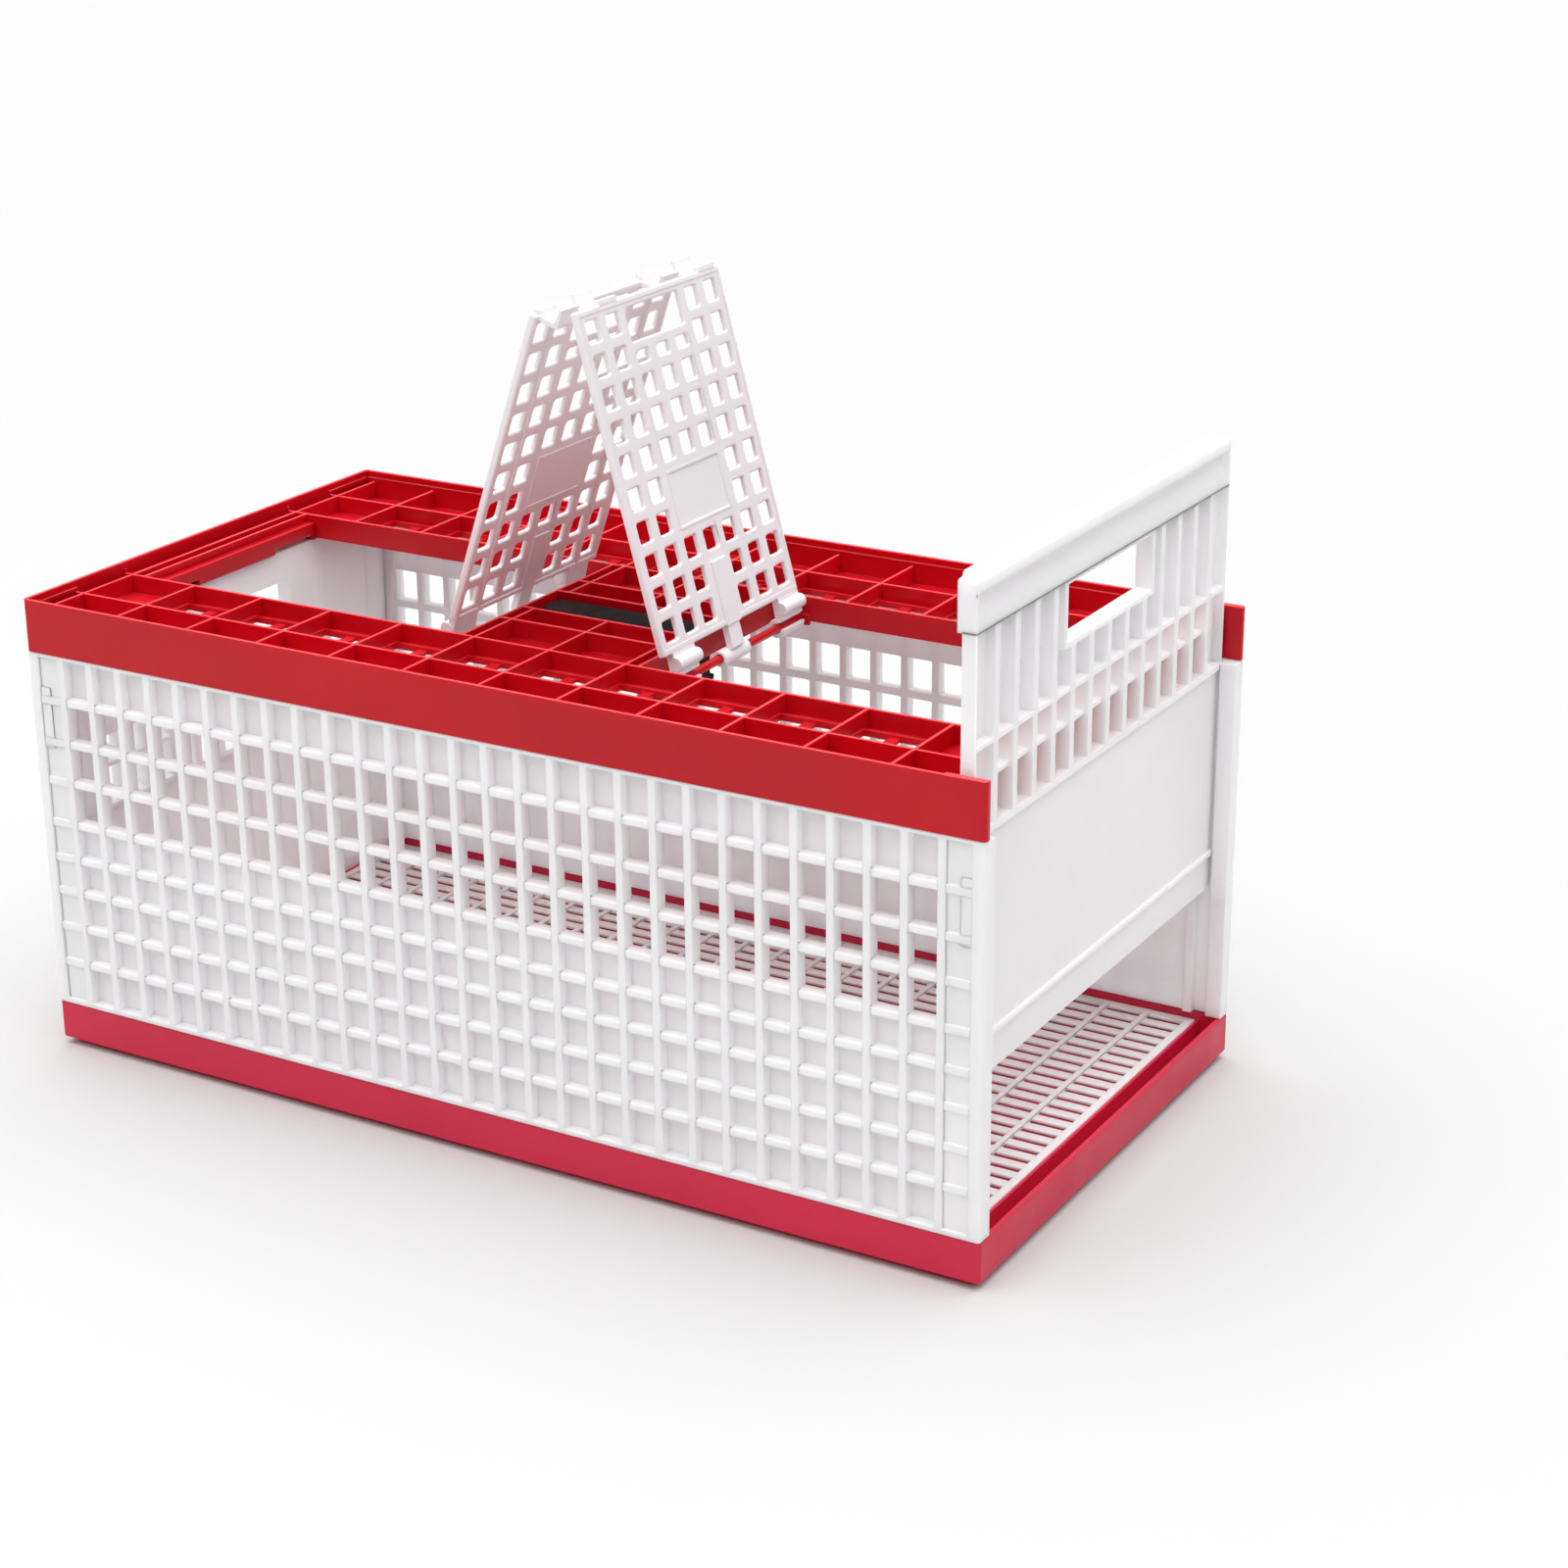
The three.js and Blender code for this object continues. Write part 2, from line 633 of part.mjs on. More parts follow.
// Top frame: skirt, deck, rib grid and two lid openings with their skirts
function makeTopFrame() {
  const outer = roundBlock(0, 0, crate_length, crate_width, corner_radius, frame_bottom, crate_height);
  const inner_y = half_width - frame_wall;
  const inner_x = -half_length + frame_wall;
  const rail_x = frame_right - frame_rib;
  const over = crate_height + cut_overrun;
  const hollow = box(inner_x, rail_x, -inner_y, inner_y, frame_bottom - cut_overrun, over);
  const rail_inner = half_width - rail_end_wall;
  const gate_gap = box(
    frame_right, half_length + cut_overrun, -rail_inner, rail_inner, frame_bottom - cut_overrun, over);
  const rail_trim = box(
    rail_x - frame_rib, frame_right + cut_overrun, -rail_inner, rail_inner, rib_top, over);
  const merge = frame_wall / 2;
  const slab = box(
    inner_x - merge, frame_right - merge, -inner_y - merge, inner_y + merge, deck_bottom, rib_top);
  const skirts = [left_opening, right_opening].map(([x0, x1]) => box(
    x0 - frame_rib, Math.min(x1 + frame_rib, frame_right - merge), -opening_outer, opening_outer,
    skirt_bottom, deck_bottom + frame_deck / 2));
  const well_half = handle_width / 2 + handle_well_play;
  const bridge_start = left_opening[1] + frame_rib;
  const bridge_end = right_opening[0] - frame_rib;
  const pockets = [
    ...ribPockets(inner_x, rail_x, mid_rib_y + frame_rib / 2, inner_y),
    ...ribPockets(inner_x, rail_x, opening_outer, mid_rib_y - frame_rib / 2),
    ...ribPockets(bridge_start, bridge_end, bridge_rib_y + frame_rib / 2, opening_half),
    ...ribPockets(bridge_start, bridge_end, well_half + frame_rib, bridge_rib_y - frame_rib / 2),
    box(bridge_start, bridge_end, -well_half, well_half, deck_top, over),
    box(
      inner_x, -half_length + end_rib_inset - frame_rib / 2, -opening_half, opening_half, deck_top, over),
    box(
      -half_length + end_rib_inset + frame_rib / 2, left_opening[0] - frame_rib, -opening_half, opening_half,
      deck_top, over),
  ];
  const openings = [left_opening, right_opening].map(([x0, x1]) => box(
    x0, x1, -opening_half, opening_half, frame_bottom, over));
  const bosses = [];
  for (const x of [left_hinge_x, right_hinge_x]) {
    bosses.push(...bothSides(box(
      x - rod_boss_half, x + rod_boss_half, opening_half - merge, opening_outer - merge / 2,
      rod_height - rod_boss_drop, deck_top)));
  }
  const vents = [];
  const vent_y0 = (opening_y + mid_rib_y) / 2 - vent_width / 2;
  crossRibPlaces().slice(1, -1).forEach((x) => {
    for (const start of [vent_first, vent_second]) {
      const vent_x0 = x + frame_rib / 2 + start;
      vents.push(...bothSides(box(
        vent_x0, vent_x0 + vent_length, vent_y0, vent_y0 + vent_width,
        deck_bottom - cut_overrun, deck_top + cut_overrun)));
    }
  });
  const leg_slots = handleLegPlaces().map((x) => box(
    x - handle_leg_length / 2 - handle_leg_play, x + handle_leg_length / 2 + handle_leg_play,
    -handle_leg_width / 2 - handle_leg_play, handle_leg_width / 2 + handle_leg_play,
    deck_bottom - cut_overrun, deck_top + cut_overrun));
  const rod_reach = opening_outer + cut_overrun;
  const rod_holes = [left_hinge_x, right_hinge_x].map((x) => rodAlongY(
    rod_radius + rod_play, x, rod_height, -rod_reach, rod_reach));
  const skirt = cut(outer, hollow);
  const body = join(skirt, slab, skirts);
  const opened = cut(body, pockets, openings, vents, leg_slots, gate_gap, rail_trim);
  const beams = [makeCatchBeam(left_catch_x, -1), makeCatchBeam(right_catch_x, 1)];
  return cut(join(opened, bosses, beams), rod_holes);
}

function makeRod(x) {
  return rodAlongY(rod_radius, x, rod_height, -opening_outer, opening_outer);
}

// Lid, built closed with its hinge axis on the Y axis and its plate towards +X
function makeLid() {
  const start = lid_hinge_arm;
  const end = start + lid_plate_length;
  const top = -lid_top_drop;
  const bottom = top - lid_thickness;
  const rim_top = top + lid_rim_rise;
  const plate = box(start, end, -lid_half, lid_half, bottom, rim_top);
  const tray = box(
    start + lid_rim_width, end - lid_rim_width, -lid_half + lid_rim_width, lid_half - lid_rim_width,
    top, rim_top + cut_overrun);
  const over_low = bottom - cut_overrun;
  const over_high = rim_top + cut_overrun;
  const middle = (lid_columns - 1) / 2;
  const centre_columns = (lid_plate_columns - 1) / 2;
  const holes = [];
  for (let row = 0; row < lid_rows; row += 1) {
    const x = start + lid_end_border + lid_row_pitch * row;
    const in_plate = row >= lid_plate_first_row && row < lid_plate_first_row + lid_plate_rows;
    for (let column = 0; column < lid_columns; column += 1) {
      const from_middle = Math.abs(column - middle);
      const y = (column - middle) * lid_column_pitch;
      const y0 = y - lid_hole_width / 2;
      const y1 = y + lid_hole_width / 2;
      const central = from_middle <= centre_columns;
      if (in_plate && central) continue;
      if (row < lid_boss_rows && from_middle === 0) continue;
      if (row === lid_rows - 1 && central) continue;
      const short = row === lid_rows - 2 && central;
      const x1 = short ? x - lid_hole_length / 2 + lid_short_hole : x + lid_hole_length / 2;
      holes.push(box(x - lid_hole_length / 2, x1, y0, y1, over_low, over_high));
    }
  }
  const last = start + lid_end_border + lid_row_pitch * (lid_rows - 1);
  holes.push(box(
    last - lid_hole_length, last + lid_hole_length / 2, -lid_window_half, lid_window_half,
    over_low, over_high));
  const boss = box(
    start, start + lid_row_pitch * lid_boss_rows, -lid_boss_half, lid_boss_half,
    bottom - lid_boss_rise, rim_top);
  const strut = box(
    clip_inner, start + lid_rim_width, -strut_width / 2, strut_width / 2, bottom, rim_top);
  const hub = rodAlongY(hub_outer, 0, 0, -hub_length / 2, hub_length / 2);
  const parts = [boss, strut, hub];
  const reach = lid_half + cut_overrun;
  const bores = [rodAlongY(clip_inner, 0, 0, -reach, reach)];
  const clip_places = [
    [-lid_half + clip_far_inset, -lid_half + clip_far_inset + clip_width],
    [lid_half - clip_width, lid_half],
  ];
  for (const [clip_y0, clip_y1] of clip_places) {
    const mouth_x0 = clip_mouth_shift - clip_mouth / 2;
    parts.push(rodAlongY(clip_outer, 0, 0, clip_y0, clip_y1));
    parts.push(rodAlongY(clip_roll_radius, clip_roll_reach, bottom + clip_play, clip_y0, clip_y1));
    parts.push(box(
      clip_inner, start + lid_rim_width, clip_y0, clip_y1, bottom, -clip_play));
    bores.push(box(
      mouth_x0, mouth_x0 + clip_mouth, clip_y0 - cut_overrun, clip_y1 + cut_overrun,
      -clip_outer - cut_overrun, 0));
  }
  const fork_places = [
    [-lid_half + fork_far_inset, -lid_half + fork_far_inset + fork_width],
    [lid_half - fork_near_inset - fork_width, lid_half - fork_near_inset],
  ];
  for (const [fork_y0, fork_y1] of fork_places) {
    const finger_bottom = catch_top - rod_height + fork_play;
    const finger_end = catch_reach + catch_depth - fork_play;
    parts.push(box(
      end - fork_riser, end, fork_y0, fork_y1, bottom, finger_bottom + fork_finger));
    parts.push(box(
      end - fork_riser, finger_end, fork_y0, fork_y1, finger_bottom, finger_bottom + fork_finger));
    parts.push(box(
      end - fork_riser, catch_reach - fork_play, fork_y0, fork_y1, bottom, top));
  }
  return cut(join(cut(plate, tray, holes), parts), bores);
}

function handleLegPlaces() {
  const reach = handle_length / 2 - handle_leg_inset;
  return [frame_centre - reach, frame_centre + reach];
}

// Carrying handle: a grip bar on two legs whose heads stop it under the deck
function makeHandle() {
  const top = crate_height - handle_drop;
  const bottom = top - handle_thickness;
  const grip = roundBlock(
    frame_centre, 0, handle_length, handle_width, handle_corner, bottom, top - handle_edge);
  const crown = roundBlock(
    frame_centre, 0, handle_length - handle_edge * 2, handle_width - handle_edge * 2,
    handle_corner - handle_edge, bottom, top);
  const head_top = deck_bottom - handle_travel;
  const legs = [];
  for (const x of handleLegPlaces()) {
    const leg_x = handle_leg_length / 2;
    const leg_y = handle_leg_width / 2;
    const head_y = leg_y + handle_head_extra;
    legs.push(box(
      x - leg_x, x + leg_x, -leg_y, leg_y, head_top - handle_head_height / 2, top - handle_edge));
    legs.push(box(x - leg_x, x + leg_x, -head_y, head_y, head_top - handle_head_height, head_top));
  }
  return join(grip, crown, legs);
}

// Assembly
const crate = new THREE.Group();
crate.add(meshOf('base_tray', makeBaseTray(), base_plastic));
crate.add(meshOf('floor_grate', makeFloorGrate(), white_plastic));
const back_wall = makeLongWall();
crate.add(meshOf('back_wall', back_wall, white_plastic));
crate.add(meshOf('front_wall', mirrorY(back_wall), white_plastic));
crate.add(meshOf('left_end_wall', makeLeftWall(), white_plastic));
crate.add(meshOf('top_frame', makeTopFrame(), red_plastic));
crate.add(meshOf('left_hinge_rod', makeRod(left_hinge_x), red_plastic));
crate.add(meshOf('right_hinge_rod', makeRod(right_hinge_x), red_plastic));

const gate = meshOf('sliding_gate', makeGate(), white_plastic);
gate.position.z = gate_raised;
crate.add(gate);

const lid = makeLid();
const right_lid = meshOf('right_lid', lid, white_plastic);
right_lid.rotation.y = -THREE.MathUtils.degToRad(90 + right_lid_lean);
right_lid.position.set(right_hinge_x, 0, rod_height);
crate.add(right_lid);

const left_lid = meshOf('left_lid', lid, white_plastic);
left_lid.rotation.y = -THREE.MathUtils.degToRad(90 + left_lid_lean);
const left_hinge = new THREE.Group();
left_hinge.rotation.z = Math.PI;
left_hinge.position.set(left_hinge_x, 0, rod_height);
left_hinge.add(left_lid);
crate.add(left_hinge);

crate.add(meshOf('carry_handle', makeHandle(), black_plastic));

export default crate;
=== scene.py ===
"""Plastic carrying crate for pigeons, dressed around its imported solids.

Each moulding is made from blocks and cut-outs in millimetres and then rounded.
X runs along the crate to the gate end, Y to the back wall, and Z is up. Bare
lengths in the shapes are millimetres.
"""

import math
from types import SimpleNamespace

import bmesh
import bpy
import numpy as np
from bpy.props import (
    FloatProperty,
    FloatVectorProperty,
    IntProperty,
    PointerProperty,
)
from mathutils import Matrix, Vector


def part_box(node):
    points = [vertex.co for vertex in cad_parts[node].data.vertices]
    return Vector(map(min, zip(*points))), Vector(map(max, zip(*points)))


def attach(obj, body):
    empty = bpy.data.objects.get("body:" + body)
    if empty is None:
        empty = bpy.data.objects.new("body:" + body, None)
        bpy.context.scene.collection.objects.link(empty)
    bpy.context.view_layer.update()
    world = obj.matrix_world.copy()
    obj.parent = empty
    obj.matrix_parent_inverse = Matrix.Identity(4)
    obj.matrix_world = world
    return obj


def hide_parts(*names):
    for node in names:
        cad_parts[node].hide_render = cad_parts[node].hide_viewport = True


bl_info = {
    "name": "Pigeon crate",
    "version": (1, 0, 0),
    "blender": (4, 5, 0),
    "location": "3D View > Sidebar > Pigeon crate",
    "description": "Builds the mouldings, lids, gate and handle of a carrying crate",
    "category": "Object",
}

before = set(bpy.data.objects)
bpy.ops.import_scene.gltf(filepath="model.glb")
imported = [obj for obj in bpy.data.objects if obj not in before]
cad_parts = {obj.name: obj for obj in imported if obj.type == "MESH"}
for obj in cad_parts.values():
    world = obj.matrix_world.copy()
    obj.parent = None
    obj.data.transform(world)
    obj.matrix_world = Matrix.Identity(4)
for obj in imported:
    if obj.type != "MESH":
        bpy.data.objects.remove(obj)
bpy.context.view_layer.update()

MM = 0.001
SHARP_ANGLE = math.radians(32)
PLANE_DIGITS = 4

TRAY_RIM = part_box("base_tray")[1].z / MM
FRAME_FOOT, FRAME_TOP = (corner.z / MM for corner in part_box("top_frame"))
GRATE_LOW, GRATE_HIGH = ([v / MM for v in corner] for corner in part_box("floor_grate"))
HANDLE_FOOT, HANDLE_TOP = (corner.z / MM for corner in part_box("carry_handle"))

# Places that several pieces share, in millimetres, and how far cuts overrun

HALF_LENGTH = 375.0
HALF_WIDTH = 197.5
TRAY_HALF_WIDTH = 197.0
OVERRUN = 2.0
ROD_HEIGHT = 316.0
RIGHT_ROD = 82.0
LEFT_ROD = -90.0
LEG_PLACES = (-61.0, 53.0)
BRIDGE_MIDDLE = -4.0


# Sizes and colours


def length(name, description, value):
    """A length in metres, given in millimetres."""
    return FloatProperty(
        name=name, description=description, default=value * MM, min=0.0,
        subtype="DISTANCE", unit="LENGTH", precision=4)


def place(name, description, value):
    """A place on an axis, in metres, given in millimetres."""
    return FloatProperty(
        name=name, description=description, default=value * MM,
        subtype="DISTANCE", unit="LENGTH", precision=4)


def colour(name, description, value):
    return FloatVectorProperty(
        name=name, description=description, default=value, size=4,
        min=0.0, max=1.0, subtype="COLOR")


class CrateWallSizes(bpy.types.PropertyGroup):
    half_length: length("Half length", "Middle of the crate to a wall's end", HALF_LENGTH)
    half_width: length(
        "Half width", "Middle of the crate to a wall's outer face", HALF_WIDTH)
    depth: length("Depth", "Thickness of a long wall over its ribs", 10.5)
    skin: length("Skin", "Thickness of the closed back of the pockets", 2.5)
    bottom: place("Bottom", "Lower edge of a long wall", 33.8)
    top: place("Top", "Upper edge of a long wall", 301)
    rib_half: length("Outermost rib", "Middle of the crate to the last rib", 345.6)
    rib_count: IntProperty(
        name="Ribs", description="Upright ribs of a long wall", default=28, min=2)
    rib_width: length("Rib width", "Width of an upright rib", 5.5)
    level_width: length("Level rib width", "Height of a level rib", 6)
    level_setback: length("Level rib setback", "Level ribs lie this far behind", 0.9)
    level_places: FloatVectorProperty(
        name="Level ribs", description="Heights of the level ribs", size=8,
        default=(0.0667, 0.0947, 0.1224, 0.148, 0.175, 0.2065, 0.236, 0.267),
        subtype="NONE", unit="LENGTH", precision=4)
    open_first: IntProperty(
        name="First open row", description="Lowest row of open cells", default=5)
    open_last: IntProperty(
        name="Last open row", description="Highest row of open cells", default=7)
    corner: length("Corner radius", "Radius of an upright corner", 2.5)
    edge: length("Edge radius", "Rounding of the ribs' edges", 0.7)
    level_edge: length("Level edge radius", "Rounding of the level ribs", 1.35)


class CratePanelSizes(bpy.types.PropertyGroup):
    front: place("Front", "Outer face of an end panel", 362.5)
    depth: length("Depth", "Thickness of the head", 13.5)
    half_width: length("Half width", "Middle to a side edge", 188.5)
    foot: place("Foot", "Lower edge of the closed panel", 8.3)
    grille_bottom: place("Grille bottom", "Lower edge of the grille", 171.3)
    mid_rib: place("Middle rib", "Height of the middle level rib", 206)
    upper_rib: place("Upper rib", "Height of the upper level rib", 230)
    rib_width: length("Rib width", "Width of an upright rib", 6.4)
    cells: IntProperty(
        name="Cells", description="Cells across the grille", default=12, min=2)
    slot: length("Hand slot", "Length of the hand slot", 127)
    edge: length("Edge radius", "Rounding of the ribs' edges", 0.7)
    raised: length("Raised", "The gate stands this far above closed", 123.5)


class CrateFrameSizes(bpy.types.PropertyGroup):
    top: place("Top", "Upper edge of the frame", FRAME_TOP)
    bottom: place("Bottom", "Lower edge of the frame's skirt", FRAME_FOOT)
    wall: length("Wall", "Thickness of the skirt", 2.8)
    rib: length("Rib", "Thickness of a rib", 2.4)
    rib_pitch: length("Rib pitch", "Distance between two cross ribs", 60.8)
    vent: length("Vent", "Length of a vent hole", 18)
    corner: length("Corner radius", "Radius of an upright corner", 3)
    edge: length("Edge radius", "Rounding of the edges", 0.5)
    rod: length("Rod radius", "Radius of a hinge rod", 3)


class CrateTraySizes(bpy.types.PropertyGroup):
    rim: place("Rim", "Height of the tray's rim", TRAY_RIM)
    corner: length("Corner radius", "Radius of an upright corner", 3)
    edge: length("Edge radius", "Rounding of the edges", 1)
    slot_length: length("Slot length", "Length of a slot of the grate", 26.4)
    slot_width: length("Slot width", "Width of a slot of the grate", 5.6)
    slot_columns: IntProperty(
        name="Slot columns", description="Slots along the grate", default=22, min=1)
    slot_rows: IntProperty(
        name="Slot rows", description="Slots across the grate", default=27, min=1)
    grate_edge: length("Grate edge radius", "Bevel of the grate's edges", 0.45)


class CrateLidSizes(bpy.types.PropertyGroup):
    half_width: length("Half width", "Middle to a side edge", 88)
    arm: length("Hinge arm", "Hinge axis to the plate", 20.5)
    plate: length("Plate", "Length of the plate", 231.6)
    thickness: length("Thickness", "Thickness of the plate", 4.5)
    hole_length: length("Hole length", "Length of a hole", 14.4)
    hole_width: length("Hole width", "Width of a hole", 15)
    row_pitch: length("Row pitch", "Distance between two rows", 22.4)
    column_pitch: length("Column pitch", "Distance between two columns", 24.3)
    edge: length("Edge radius", "Rounding of the edges", 1.55)
    right_angle: FloatProperty(
        name="Right lid", description="Swing of the right lid", subtype="ANGLE",
        default=math.radians(105.6))
    left_angle: FloatProperty(
        name="Left lid", description="Swing of the left lid", subtype="ANGLE",
        default=math.radians(109))


class CrateHandleSizes(bpy.types.PropertyGroup):
    length: length("Length", "Length of the grip", 130)
    width: length("Width", "Width of the grip", 28)
    crown: length("Crown", "Rounding of the grip's edges", 3.4)
    edge: length("Edge radius", "Rounding of the legs' edges", 0.8)


class CrateColours(bpy.types.PropertyGroup):
    frame_red: colour("Frame red", "Plastic of the top frame", (0.56, 0.002, 0.010, 1))
    tray_red: colour("Tray red", "Plastic of the base tray", (0.66, 0.014, 0.058, 1))
    # Painted highlight: a paler red painted on the frame's rib and rim tops, standing in
    # for the light that glints on their edges
    rubbed_red: colour(
        "Rubbed red", "Tops of the frame's ribs and rim", (0.86, 0.075, 0.09, 1))
    wall_white: colour("White", "Plastic of the walls", (0.93, 0.915, 0.94, 1))
    handle_black: colour("Black", "Plastic of the handle", (0.007, 0.005, 0.007, 1))
    floor: colour("Floor", "Studio floor", (0.62, 0.62, 0.62, 1))


def millimetres(group):
    """A property group's values, with its lengths in millimetres."""
    values = {}
    for prop in group.bl_rna.properties:
        if prop.identifier in {"rna_type", "name"}:
            continue
        value = getattr(group, prop.identifier)
        if prop.type == "FLOAT" and prop.unit == "LENGTH":
            value = [v / MM for v in value] if prop.is_array else value / MM
        values[prop.identifier] = value
    return SimpleNamespace(**values)


# Mouldings


class Moulding:
    """Blocks added and cut in order on one grid of planes, in millimetres."""

    def __init__(self):
        self.steps = []
        self.planes = [set(), set(), set()]

    def step(self, solid, spans, mirror):
        boxes = [tuple(spans[i : i + 2] for i in (0, 2, 4))]
        for axis in ("xyz".index(letter) for letter in mirror):
            for box in list(boxes):
                low, high = box[axis]
                boxes.append(box[:axis] + ((-high, -low),) + box[axis + 1 :])
        self.steps.extend((solid, box) for box in boxes)

    def add(self, *spans, mirror=""):
        """Fills the block x0 to x1, y0 to y1, z0 to z1, and its mirror images."""
        self.step(True, spans, mirror)

    def cut(self, *spans, mirror=""):
        """Empties a block, given as for add."""
        self.step(False, spans, mirror)

    def lift(self, height):
        self.steps = [
            (solid, (x_span, y_span, tuple(z + height for z in z_span)))
            for solid, (x_span, y_span, z_span) in self.steps]

    def round_upright(self, half_x, half_y, radius):
        """Adds the planes on which round_corners sets a footprint's corners."""
        for share in arc_shares():
            for sign in (-1, 1):
                across = radius * (share - 1)
                self.planes[0].add(round(sign * (half_x + across), PLANE_DIGITS))
                self.planes[1].add(round(sign * (half_y + across), PLANE_DIGITS))

    def grid(self):
        """Planes of the grid and which of its cells are filled."""
        boxes = [
            (solid, [[round(v, PLANE_DIGITS) for v in span] for span in box])
            for solid, box in self.steps]
        lines = [
            sorted({v for _, box in boxes for v in box[axis]} | self.planes[axis])
            for axis in range(3)]
        index = [{v: i for i, v in enumerate(line)} for line in lines]
        filled = np.zeros([len(line) - 1 for line in lines], bool)
        for solid, box in boxes:
            cells = (slice(*(index[a][v] for v in box[a])) for a in range(3))
            filled[tuple(cells)] = solid
        return lines, filled

    def faces(self):
        """Corner points and faces of the filled cells' outside."""
        lines, filled = self.grid()
        padded = np.pad(filled, 1).astype(np.int8)
        plates = []
        for axis in range(3):
            after, last = (axis + 1) % 3, (axis + 2) % 3
            inner = [slice(1, -1)] * 3
            inner[axis] = slice(None)
            change = np.diff(padded, axis=axis)[tuple(inner)]
            change = np.moveaxis(change, (axis, after, last), (0, 1, 2))
            stops = [
                {i for i, v in enumerate(lines[a]) if v in self.planes[a] and axis != 2}
                for a in (after, last)]
            for sign in (1, -1):
                for level in range(change.shape[0]):
                    for plate in merged_plates(change[level] == sign, *stops):
                        plates.append((axis, sign, level, plate))
        return plate_faces(plates, lines)


def merged_plates(mask, row_stops, column_stops):
    """Rectangles [row0, row1, column0, column1] that cover a mask of cells."""
    mask = mask.copy()
    found = []
    for row, column in np.argwhere(mask):
        if not mask[row, column]:
            continue
        end = column + 1
        while end < mask.shape[1] and mask[row, end] and end not in column_stops:
            end += 1
        below = row + 1
        while (below < mask.shape[0] and below not in row_stops
               and mask[below, column:end].all()):
            below += 1
        mask[row:below, column:end] = False
        found.append((int(row), int(below), int(column), int(end)))
    return found


def plate_faces(plates, lines):
    """Points and faces of the rectangles, sharing every corner on their sides."""
    rings = []
    corners = set()
    for axis, sign, level, (row0, row1, column0, column1) in plates:
        ring = []
        for row, column in (
            (row0, column0), (row1, column0), (row1, column1), (row0, column1),
        ):
            point = [0, 0, 0]
            point[axis], point[(axis + 1) % 3], point[(axis + 2) % 3] = (
                level, row, column)
            ring.append(tuple(point))
        ring = ring if sign < 0 else ring[::-1]
        rings.append(ring)
        corners.update(ring)
    numbers, points, faces = {}, [], []
    for ring in rings:
        face = []
        for start, end in zip(ring, ring[1:] + ring[:1]):
            axis = next(a for a in range(3) if start[a] != end[a])
            step = 1 if end[axis] > start[axis] else -1
            for value in range(start[axis], end[axis], step):
                corner = start[:axis] + (value,) + start[axis + 1 :]
                if corner not in corners:
                    continue
                if corner not in numbers:
                    numbers[corner] = len(points)
                    points.append([lines[a][corner[a]] for a in range(3)])
                face.append(numbers[corner])
        faces.append(face)
    return np.array(points), faces


def arc_shares(steps=5):
    """Shares of a round corner's radius where its facets meet."""
    return [math.tan(math.pi / 4 * i / steps) for i in range(steps + 1)]


def round_corners(points, half_x, half_y, radius):
    """Turns the square upright corners of a footprint into round ones."""
    centre = np.array([half_x - radius, half_y - radius])
    flat = np.abs(points[:, :2]) - centre
    inside = (flat > 0).all(axis=1)
    offset = flat[inside]
    distance = np.linalg.norm(offset, axis=1, keepdims=True)
    turned = offset * offset.max(axis=1, keepdims=True) / distance
    points[inside, :2] = (centre + turned) * np.sign(points[inside, :2])


def loft(rings, closed_ends=True):
    """A shell through rings of points, each ring with the same count."""
    shell = bmesh.new()
    rows = [[shell.verts.new(point) for point in ring] for ring in rings]
    count = len(rings[0])
    for one, two in zip(rows, rows[1:]):
        for i in range(count):
            j = (i + 1) % count
            shell.faces.new((one[i], one[j], two[j], two[i]))
    if closed_ends:
        shell.faces.new(rows[0])
        shell.faces.new(rows[-1])
    bmesh.ops.recalc_face_normals(shell, faces=shell.faces)
    return shell


def filleted(outline, radius, steps=4):
    """An outline of points with each corner rounded. radius may be one per corner."""
    count = len(outline)
    radii = radius if hasattr(radius, "__len__") else [radius] * count
    result = []
    for i in range(count):
        here = Vector(outline[i])
        before = Vector(outline[i - 1]) - here
        after = Vector(outline[(i + 1) % count]) - here
        turn = before.angle(after)
        reach = min(
            radii[i] / math.tan(turn / 2), before.length * 0.49, after.length * 0.49)
        if reach < 0.02:
            result.append(tuple(here))
            continue
        start = here + before.normalized() * reach
        end = here + after.normalized() * reach
        for step in range(steps + 1):
            t = step / steps
            point = start.lerp(here, t).lerp(here.lerp(end, t), t)
            result.append(tuple(point))
    return result


def prism_y(outline, y0, y1):
    """A bar along Y with an [x, z] section."""
    return loft([[(x, y, z) for x, z in outline] for y in (y0, y1)])


def circle(x, z, radius, start=0.0, end=360.0, steps=28):
    """Points of a circle or, with start and end in degrees, of an arc."""
    turn = end - start
    count = steps if abs(turn) >= 360 else steps + 1
    angles = (math.radians(start + turn * i / steps) for i in range(count))
    return [(x + radius * math.cos(a), z + radius * math.sin(a)) for a in angles]


def quarter_round(share):
    """Height of a quarter circle of radius 1, at a share of its width."""
    share = min(1.0, max(0.0, share))
    return math.sqrt(share * (2 - share))


